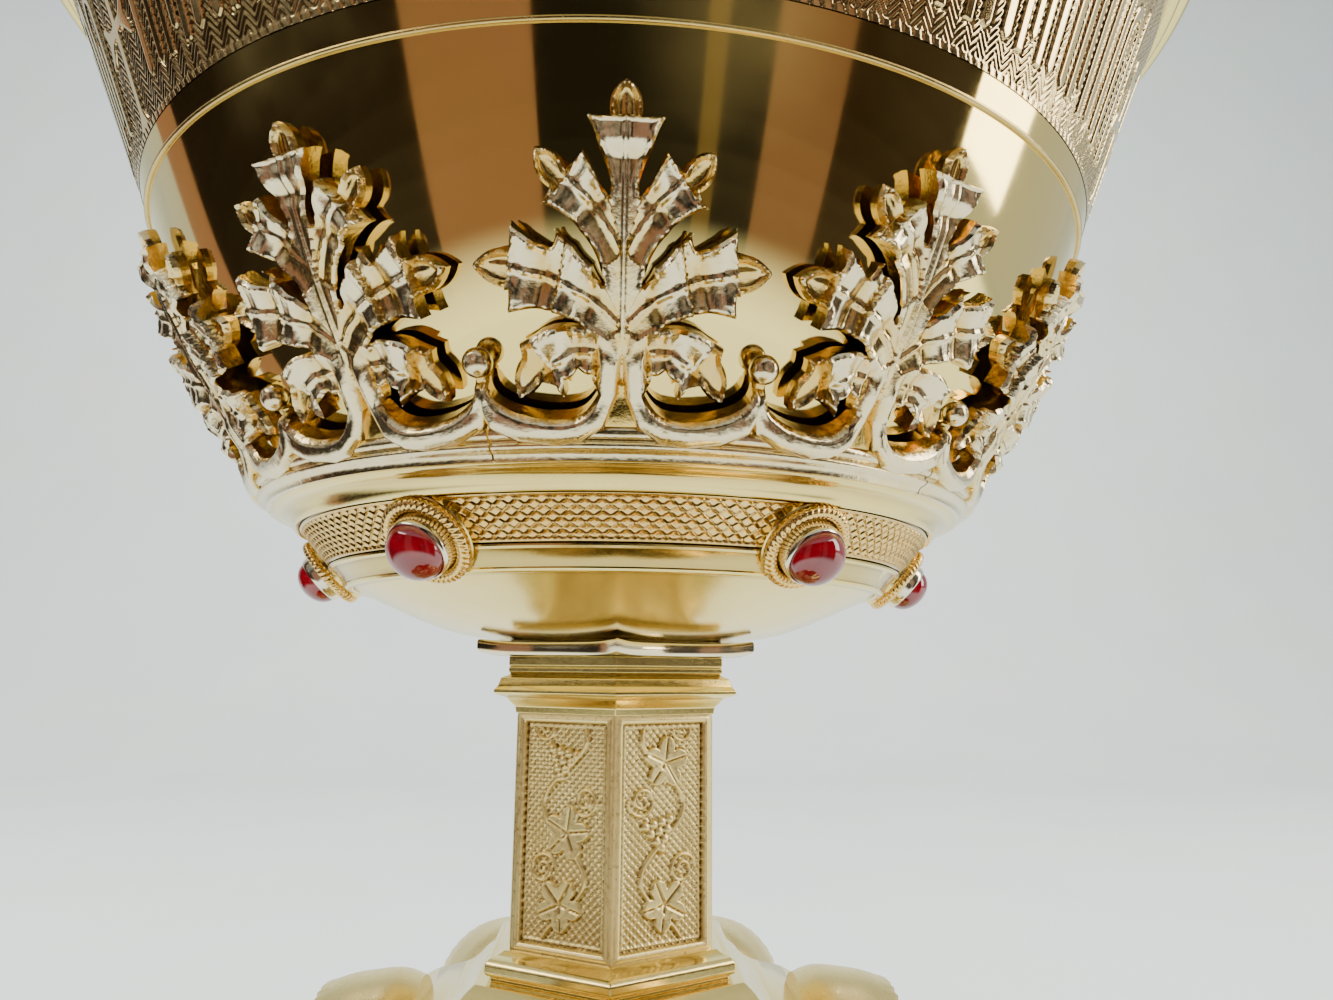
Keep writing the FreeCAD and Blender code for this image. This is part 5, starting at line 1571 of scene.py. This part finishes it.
# %% Soft lights
def soft_light(name, place, aim, size, power, colour="#FFFFFF"):
    light = bpy.data.lights.new(name, "AREA")
    light.shape, light.size = "SQUARE", size
    light.energy = power
    light.color = linear(colour)[:3]
    lamp = bpy.data.objects.new(name, light)
    bpy.context.scene.collection.objects.link(lamp)
    lamp.location = place
    lamp.rotation_euler = (Vector(aim) - Vector(place)).to_track_quat("-Z", "Y").to_euler()
    return lamp


soft_light("left_softbox", (-1.2, -0.5, 0.7), MIDDLE, 0.9, 23, "#FFFAF0")
soft_light("right_softbox", (1.2, -0.35, 0.6), MIDDLE, 0.9, 21, "#FFF9EC")
soft_light("top_softbox", (0.0, 0.1, 1.5), MIDDLE, 1.1, 24)
soft_light("low_fill", (0.35, -0.9, 0.08), MIDDLE, 0.5, 5, "#FFF4E0")

world = bpy.data.worlds.new("pale_room")
bpy.context.scene.world = world
world.use_nodes = True
world.node_tree.nodes["Background"].inputs["Color"].default_value = linear("#E0E6E6")
world.node_tree.nodes["Background"].inputs["Strength"].default_value = 0.93
print("lights ready")

# %% [markdown]
# ## Camera
# The view is close and looks a little up at the bowl from beside the stem. It is turned a few degrees to
# the right and rolled by half a degree, which puts the middle leaf just left of the centre line.

# %% Camera
def place_camera():
    """Close, from below the line of the bowl, looking a little up."""
    yaw, pitch, roll = (math.radians(a) for a in (2.94, 10.22, 0.53))
    forward = Vector((math.sin(yaw) * math.cos(pitch), math.cos(yaw) * math.cos(pitch), math.sin(pitch)))
    right = Vector((math.cos(yaw), -math.sin(yaw), 0))
    up = right.cross(forward)
    turned_right = math.cos(roll) * right + math.sin(roll) * up
    turned_up = math.cos(roll) * up - math.sin(roll) * right
    camera_data = bpy.data.cameras.new("camera")
    camera_data.lens, camera_data.sensor_width = 25.2, 36
    camera_data.clip_start, camera_data.clip_end = 0.005, 20
    camera = bpy.data.objects.new("camera", camera_data)
    bpy.context.scene.collection.objects.link(camera)
    frame_axes = Matrix((turned_right, turned_up, -forward)).transposed()
    camera.matrix_world = Matrix.Translation(EYE) @ frame_axes.to_4x4()
    bpy.context.scene.camera = camera


place_camera()
print("camera at", [round(v, 4) for v in EYE])

# %% Update the scene
bpy.context.view_layer.update()
